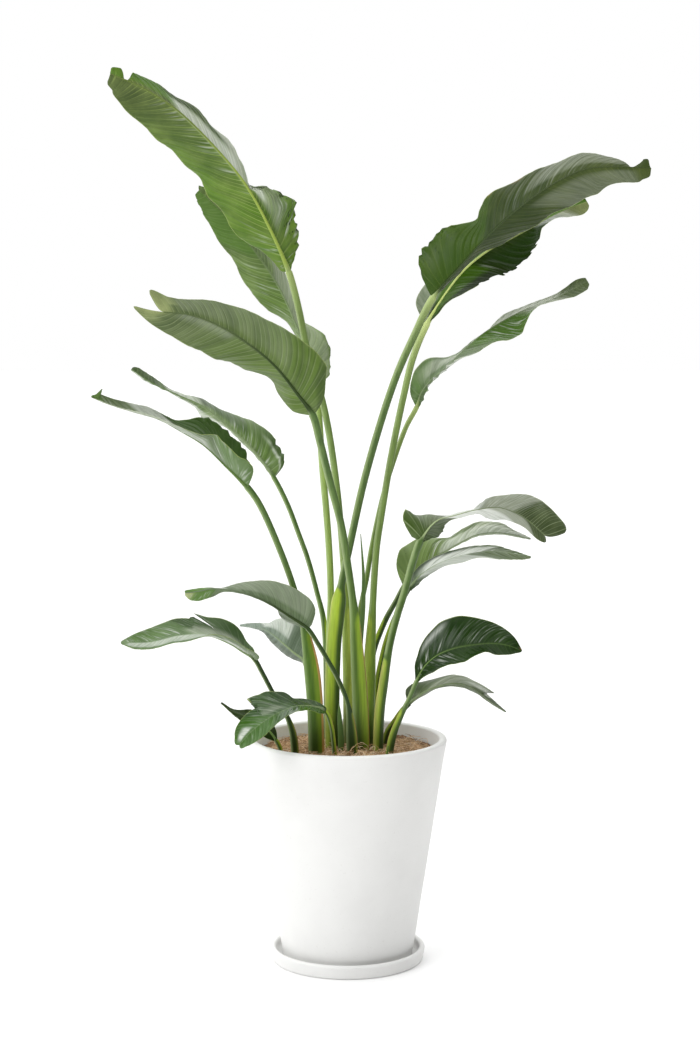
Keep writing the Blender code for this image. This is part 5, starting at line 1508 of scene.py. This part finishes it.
class StrandTree(Graph):
    """A Geometry Nodes tree with named inputs: curved strands scattered on a surface, wavy, each with its
    own shade."""

    INPUTS = (
        ("Density", "NodeSocketFloat", 30000.0), ("Strand radius", "NodeSocketFloat", 0.00016),
        ("Arc radius", "NodeSocketFloat", 0.016), ("Tilt", "NodeSocketFloat", 0.35),
        ("Waviness", "NodeSocketFloat", 0.004), ("Points", "NodeSocketInt", 9), ("Seed", "NodeSocketInt", 3),
        ("Material", "NodeSocketMaterial", None))
    SWEEPS = (1.3, 2.1, 3.2, 4.4)
    SMALLEST = (0.5, 0.5, 0.5)
    LARGEST = (1.3, 1.3, 1.3)
    WHOLE_TURN = 6.283
    WAVE_SCALE = 60.0
    STRAND_SIDES = 3

    def __init__(self):
        super().__init__(bpy.data.node_groups.new("Coir strands", "GeometryNodeTree"))
        for way in ("INPUT", "OUTPUT"):
            self.tree.interface.new_socket("Geometry", in_out=way, socket_type="NodeSocketGeometry")
        self.identifiers = {}
        for label, kind, default in self.INPUTS:
            socket = self.tree.interface.new_socket(label, in_out="INPUT", socket_type=kind)
            self.identifiers[label] = socket.identifier
            if default is not None:
                socket.default_value = default
        self.given = self.add("NodeGroupInput").outputs
        self.put(self.add("NodeGroupOutput").inputs["Geometry"], self.strands())

    def through(self, kind, geometry, *inputs, **settings):
        """What comes out of a node that takes this geometry first."""
        return self.add(kind, [(0, geometry), *inputs], **settings).outputs[0]

    def random(self, low, high, offset):
        """A random number, or a random vector between two, from a seed that lies this far from the tree's."""
        first, result, kind = (0, 0, "FLOAT_VECTOR") if isinstance(low, tuple) else (2, 1, "FLOAT")
        inputs = [(first, low), (first + 1, high), ("Seed", self.math("ADD", self.given["Seed"], offset))]
        return self.add("FunctionNodeRandomValue", inputs, data_type=kind).outputs[result]

    def shapes(self):
        """One arc for each sweep, moved so that it starts at the origin."""
        given, radius = self.given, self.given["Arc radius"]
        joined = self.add("GeometryNodeJoinGeometry")
        for sweep in self.SWEEPS:
            inputs = [("Resolution", given["Points"]), ("Radius", radius), ("Sweep Angle", sweep)]
            curve = self.add("GeometryNodeCurveArc", inputs, mode="RADIUS").outputs["Curve"]
            start = self.vector(self.math("MULTIPLY", radius, -1.0))
            moved = self.through("GeometryNodeTransform", curve, ("Translation", start))
            self.put(joined.inputs[0], self.through("GeometryNodeGeometryToInstance", moved))
        return joined.outputs[0]

    def strands(self):
        """Strands on the bed, tilted, sized, shaded and waved, and given their thickness."""
        given, tilt = self.given, self.given["Tilt"]
        back = self.math("MULTIPLY", tilt, -1.0)
        turn = self.random(0.0, self.WHOLE_TURN, 13)
        turns = self.vector(self.random(back, tilt, 11), self.random(back, tilt, 12), turn)
        made = self.through("GeometryNodeDistributePointsOnFaces", given["Geometry"],
                            ("Density", given["Density"]), ("Seed", given["Seed"]))
        made = self.through("GeometryNodeInstanceOnPoints", made, ("Instance", self.shapes()),
                            ("Pick Instance", True), ("Rotation", turns),
                            ("Scale", self.random(self.SMALLEST, self.LARGEST, 14)))
        made = self.through("GeometryNodeStoreNamedAttribute", made, ("Name", "strand_shade"),
                            ("Value", self.random(0.0, 1.0, 15)), data_type="FLOAT", domain="INSTANCE")
        made = self.through("GeometryNodeRealizeInstances", made)
        place = self.add("GeometryNodeInputPosition").outputs[0]
        inputs = [("Vector", place), ("Scale", self.WAVE_SCALE), ("Detail", 1.0)]
        wander = self.add("ShaderNodeTexNoise", inputs).outputs["Color"]
        centred = self.vector_math("SUBTRACT", (0, wander), (1, (0.5, 0.5, 0.5)))[0]
        reach = self.math("MULTIPLY", given["Waviness"], 4.0)
        offset = self.vector_math("SCALE", (0, centred), ("Scale", reach))[0]
        made = self.through("GeometryNodeSetPosition", made, ("Offset", offset))
        inputs = [("Resolution", self.STRAND_SIDES), ("Radius", given["Strand radius"])]
        outline = self.add("GeometryNodeCurvePrimitiveCircle", inputs, mode="RADIUS").outputs["Curve"]
        made = self.through("GeometryNodeCurveToMesh", made, ("Profile Curve", outline), ("Fill Caps", True))
        made = self.through("GeometryNodeRealizeInstances", made)
        return self.through("GeometryNodeSetMaterial", made, ("Material", given["Material"]))


def strand_bed(name, centre, radius, settings):
    """The patch of the mat that strands are scattered on."""
    points = [(*centre, mat_height(*centre, settings))]
    points += mat_rings(centre, radius, BED_RINGS, BED_STEPS, settings)
    faces = [(0, 1 + step, 1 + (step + 1) % BED_STEPS) for step in range(BED_STEPS)]
    faces += (disc_faces(BED_RINGS, BED_STEPS) + 1).tolist()
    return new_piece(plain_mesh(name, points, faces, smooth=False))


def make_strands(name, tree, centre, radius, values, settings):
    """One scatter of strands, turned into a plain mesh."""
    bed = strand_bed(name + "_bed", centre, radius, settings)
    modifier = bed.modifiers.new("Strands", "NODES")
    modifier.node_group = tree.tree
    for label, value in values.items():
        modifier[tree.identifiers[label]] = value
    bpy.context.view_layer.update()
    graph = bpy.context.evaluated_depsgraph_get()
    mesh = bpy.data.meshes.new_from_object(bed.evaluated_get(graph))
    mesh.name = name
    bpy.data.objects.remove(bed)
    made = new_piece(mesh)
    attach(made, BODY)


# Studio


def white_surround(settings):
    """White, dim in front, brighter behind and above, dimmer at the right, and full up to the horizon."""
    world = bpy.data.worlds.new("white_surround")
    world.use_nodes = True
    graph = Graph(world.node_tree)
    x, y, z = graph.split(graph.add("ShaderNodeTexCoord").outputs["Generated"])
    behind = graph.step(y, -0.5, 0.2, settings.front, settings.sky, "LINEAR")
    above = graph.step(z, 0.25, 0.8, 0.0, settings.above, "LINEAR")
    right = graph.step(x, 0.25, 0.9, 0.0, -settings.shade, "LINEAR")
    horizon = graph.step(z, 0.03, 0.06, 1.0, 0.03, "LINEAR")
    strength = graph.math("ADD", graph.math("ADD", behind, above), right)
    background = world.node_tree.nodes["Background"]
    background.inputs["Color"].default_value = (1.0, 1.0, 1.0, 1.0)
    graph.put(background.inputs["Strength"], graph.math("MAXIMUM", strength, horizon))
    return world


def add_light(name, place, target, size, power):
    light = bpy.data.lights.new(name, "AREA")
    light.shape = "SQUARE"
    light.size = size
    light.energy = power
    made = bpy.data.objects.new(name, light)
    made.location = place
    made.rotation_euler = (Vector(target) - Vector(place)).to_track_quat("-Z", "Y").to_euler()
    bpy.context.scene.collection.objects.link(made)


def add_camera(settings):
    camera = bpy.data.cameras.new("camera")
    camera.lens = settings.lens
    camera.sensor_width = SENSOR_WIDTH
    camera.sensor_fit = "AUTO"
    made = bpy.data.objects.new("camera", camera)
    made.location = (settings.sideways, -settings.distance, settings.height)
    made.rotation_euler = (math.pi / 2 - settings.pitch, 0.0, 0.0)
    bpy.context.scene.collection.objects.link(made)
    bpy.context.scene.camera = made


# Settings, operators and panel


class PotSettings(bpy.types.PropertyGroup):
    rim_radius: bpy.props.FloatProperty(
        name="Rim radius", description="Outer radius of the pot's lip", default=POT_HIGH.x, unit="LENGTH")
    foot_radius: bpy.props.FloatProperty(
        name="Foot radius", description="Outer radius of the pot's foot", default=0.115, unit="LENGTH")
    lip_width: bpy.props.FloatProperty(
        name="Lip width", description="Width of the pot's flat lip", default=0.014, unit="LENGTH")
    lip_rounding: bpy.props.FloatProperty(
        name="Lip rounding", description="Rounding of the lip's edges", default=0.005, unit="LENGTH")
    foot_rounding: bpy.props.FloatProperty(
        name="Foot rounding", description="Rounding where the wall meets the foot", default=0.004,
        unit="LENGTH")
    wall: bpy.props.FloatProperty(
        name="Wall", description="Thickness of the pot's wall", default=0.017, unit="LENGTH")
    floor_thickness: bpy.props.FloatProperty(
        name="Floor", description="Thickness of the pot's floor", default=0.014, unit="LENGTH")
    drain_radius: bpy.props.FloatProperty(
        name="Drain hole", description="Radius of the hole in the pot's floor", default=0.012, unit="LENGTH")
    saucer_foot_radius: bpy.props.FloatProperty(
        name="Saucer foot", description="Outer radius of the saucer's underside", default=0.134,
        unit="LENGTH")
    saucer_floor: bpy.props.FloatProperty(
        name="Saucer floor", description="Thickness of the saucer's floor", default=0.008, unit="LENGTH")
    saucer_lip: bpy.props.FloatProperty(
        name="Saucer lip", description="Width of the saucer's rounded lip", default=0.010, unit="LENGTH")
    turn_steps: bpy.props.IntProperty(
        name="Turn steps", description="Faces round the pot and the saucer", default=160, min=24)
    colour: bpy.props.FloatVectorProperty(
        name="Colour", description="Colour of the pot and the saucer", size=4, subtype="COLOR",
        default=srgb(230, 230, 228), min=0, max=1)
    roughness: bpy.props.FloatProperty(
        name="Roughness", description="How matte the pot is", default=0.55, subtype="FACTOR", min=0, max=1)


class CoirSettings(bpy.types.PropertyGroup):
    bed_radius: bpy.props.FloatProperty(
        name="Bed radius", description="Radius of the coir bed inside the pot", default=MULCH_HIGH.x,
        unit="LENGTH")
    mound: bpy.props.FloatProperty(
        name="Mound", description="How much higher the bed is among the stalks", default=0.004, unit="LENGTH")
    tuft_relief: bpy.props.FloatProperty(
        name="Tufts", description="Relief of the tufts", default=0.0045, unit="LENGTH")
    nap_relief: bpy.props.FloatProperty(
        name="Nap", description="Relief of the fine nap", default=0.0014, unit="LENGTH")
    strand_radius: bpy.props.FloatProperty(
        name="Strand radius", description="Radius of one coir strand", default=0.00038, unit="LENGTH")
    seed: bpy.props.IntProperty(name="Seed", description="Changes how the strands fall", default=3)


class FoliageSettings(bpy.types.PropertyGroup):
    line_step: bpy.props.FloatProperty(
        name="Vein line step", description="Distance along the rib between the blade's lines of points",
        default=0.0022, unit="LENGTH")


class StageSettings(bpy.types.PropertyGroup):
    floor_colour: bpy.props.FloatVectorProperty(
        name="Floor colour", description="Colour of the studio floor", size=4, subtype="COLOR",
        default=srgb(250, 250, 250), min=0, max=1)
    floor_half: bpy.props.FloatProperty(
        name="Floor reach", description="From the plant to the floor's edges", default=60.0, unit="LENGTH")
    sky: bpy.props.FloatProperty(name="Surround", description="Strength of the surround behind", default=1.0)
    front: bpy.props.FloatProperty(
        name="Front", description="Strength of the surround in front", default=0.16)
    key: bpy.props.FloatProperty(
        name="Key light", description="Power of the key light in watts", default=62.0)
    above: bpy.props.FloatProperty(
        name="Above", description="Strength added to the surround above", default=0.95)
    shade: bpy.props.FloatProperty(
        name="Shade", description="Strength taken from the surround at right", default=0.6)
    lens: bpy.props.FloatProperty(name="Lens", description="Focal length in millimetres", default=70.0)
    distance: bpy.props.FloatProperty(
        name="Camera distance", description="From the camera to the plant's plane", default=3.55,
        unit="LENGTH")
    height: bpy.props.FloatProperty(
        name="Camera height", description="Height of the camera", default=1.10, unit="LENGTH")
    sideways: bpy.props.FloatProperty(
        name="Camera sideways", description="The camera's offset to the right", default=0.0043, unit="LENGTH")
    pitch: bpy.props.FloatProperty(
        name="Camera pitch", description="How far the camera looks down", default=math.radians(5.28),
        subtype="ANGLE")


class PLANT_OT_stage(bpy.types.Operator):
    """Makes the pale floor, the soft studio light and the camera."""

    bl_idname = "potted_plant.make_stage"
    bl_label = "Stage"

    def execute(self, context):
        settings = context.scene.plant_stage
        half = settings.floor_half
        corners = [(-half, -half, 0), (half, -half, 0), (half, half, 0), (-half, half, 0)]
        mesh = plain_mesh("studio_floor", corners, [(0, 1, 2, 3)], smooth=False)
        floor = new_piece(mesh, floor_material(settings.floor_colour))
        context.scene.world = white_surround(settings)
        context.scene.view_settings.view_transform = "Standard"
        add_light("key_light", KEY_LIGHT_PLACE, KEY_LIGHT_TARGET, KEY_LIGHT_SIZE, settings.key)
        add_camera(settings)
        return {"FINISHED"}


class PLANT_OT_pot(bpy.types.Operator):
    """Makes the tapered white pot."""

    bl_idname = "potted_plant.make_pot"
    bl_label = "Pot"

    def execute(self, context):
        make_pot_piece(context.scene.plant_pot)
        return {"FINISHED"}


class PLANT_OT_saucer(bpy.types.Operator):
    """Makes the white saucer."""

    bl_idname = "potted_plant.make_saucer"
    bl_label = "Saucer"

    def execute(self, context):
        make_saucer_piece(context.scene.plant_pot)
        return {"FINISHED"}


class PLANT_OT_bed(bpy.types.Operator):
    """Gives the soil its material and makes the matted coir over it."""

    bl_idname = "potted_plant.make_bed"
    bl_label = "Soil and coir mat"

    def execute(self, context):
        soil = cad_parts["soil"].data
        soil.materials.clear()
        soil.materials.append(soil_material())
        make_mat_piece(context.scene.plant_coir)
        return {"FINISHED"}


class PLANT_OT_strands(bpy.types.Operator):
    """Scatters loose coir strands over the mat and in curls among the stalks."""

    bl_idname = "potted_plant.make_strands"
    bl_label = "Coir strands"

    def execute(self, context):
        settings = context.scene.plant_coir
        tree = StrandTree()
        common = {"Material": coir_strand_material()}
        for name, centre, radius, thickness, seed, values in SCATTERS:
            common["Strand radius"] = settings.strand_radius * thickness
            common["Seed"] = settings.seed + seed
            make_strands(name, tree, centre, radius, {**common, **values}, settings)
        return {"FINISHED"}


class PLANT_OT_leaves(bpy.types.Operator):
    """Makes every leaf: blade, rib, stalk and sheath."""

    bl_idname = "potted_plant.make_leaves"
    bl_label = "Leaves"

    def execute(self, context):
        for seed, leaf in enumerate(LEAVES, 1):
            make_leaf(leaf, context.scene.plant_foliage, seed)
        return {"FINISHED"}


class PLANT_OT_shoots(bpy.types.Operator):
    """Makes the rolled new leaf and the young shoots."""

    bl_idname = "potted_plant.make_shoots"
    bl_label = "Shoots"

    def execute(self, context):
        for shoot in SHOOTS:
            make_shoot(shoot)
        return {"FINISHED"}


class PLANT_PT_panel(bpy.types.Panel):
    """Lists what the add-on makes, with its settings."""

    bl_label = "Potted Plant"
    bl_idname = "PLANT_PT_panel"
    bl_space_type = "VIEW_3D"
    bl_region_type = "UI"
    bl_category = "Potted Plant"

    def draw(self, context):
        layout = self.layout
        for operator in OPERATORS:
            layout.operator(operator.bl_idname)
        for name, group in SETTINGS:
            box = layout.box()
            for key in group.__annotations__:
                box.prop(getattr(context.scene, name), key)


OPERATORS = (PLANT_OT_stage, PLANT_OT_pot, PLANT_OT_saucer, PLANT_OT_bed, PLANT_OT_strands, PLANT_OT_leaves,
             PLANT_OT_shoots)
SETTINGS = (("plant_pot", PotSettings), ("plant_coir", CoirSettings), ("plant_foliage", FoliageSettings),
            ("plant_stage", StageSettings))


def register():
    for name, group in SETTINGS:
        bpy.utils.register_class(group)
        setattr(bpy.types.Scene, name, bpy.props.PointerProperty(type=group))
    for operator in OPERATORS:
        bpy.utils.register_class(operator)
    bpy.utils.register_class(PLANT_PT_panel)


def unregister():
    bpy.utils.unregister_class(PLANT_PT_panel)
    for operator in reversed(OPERATORS):
        bpy.utils.unregister_class(operator)
    for name, group in reversed(SETTINGS):
        delattr(bpy.types.Scene, name)
        bpy.utils.unregister_class(group)


def main():
    register()
    bpy.ops.potted_plant.make_stage()
    bpy.ops.potted_plant.make_pot()
    bpy.ops.potted_plant.make_saucer()
    bpy.ops.potted_plant.make_bed()
    bpy.ops.potted_plant.make_strands()
    bpy.ops.potted_plant.make_leaves()
    bpy.ops.potted_plant.make_shoots()


if __name__ == "__main__":
    main()
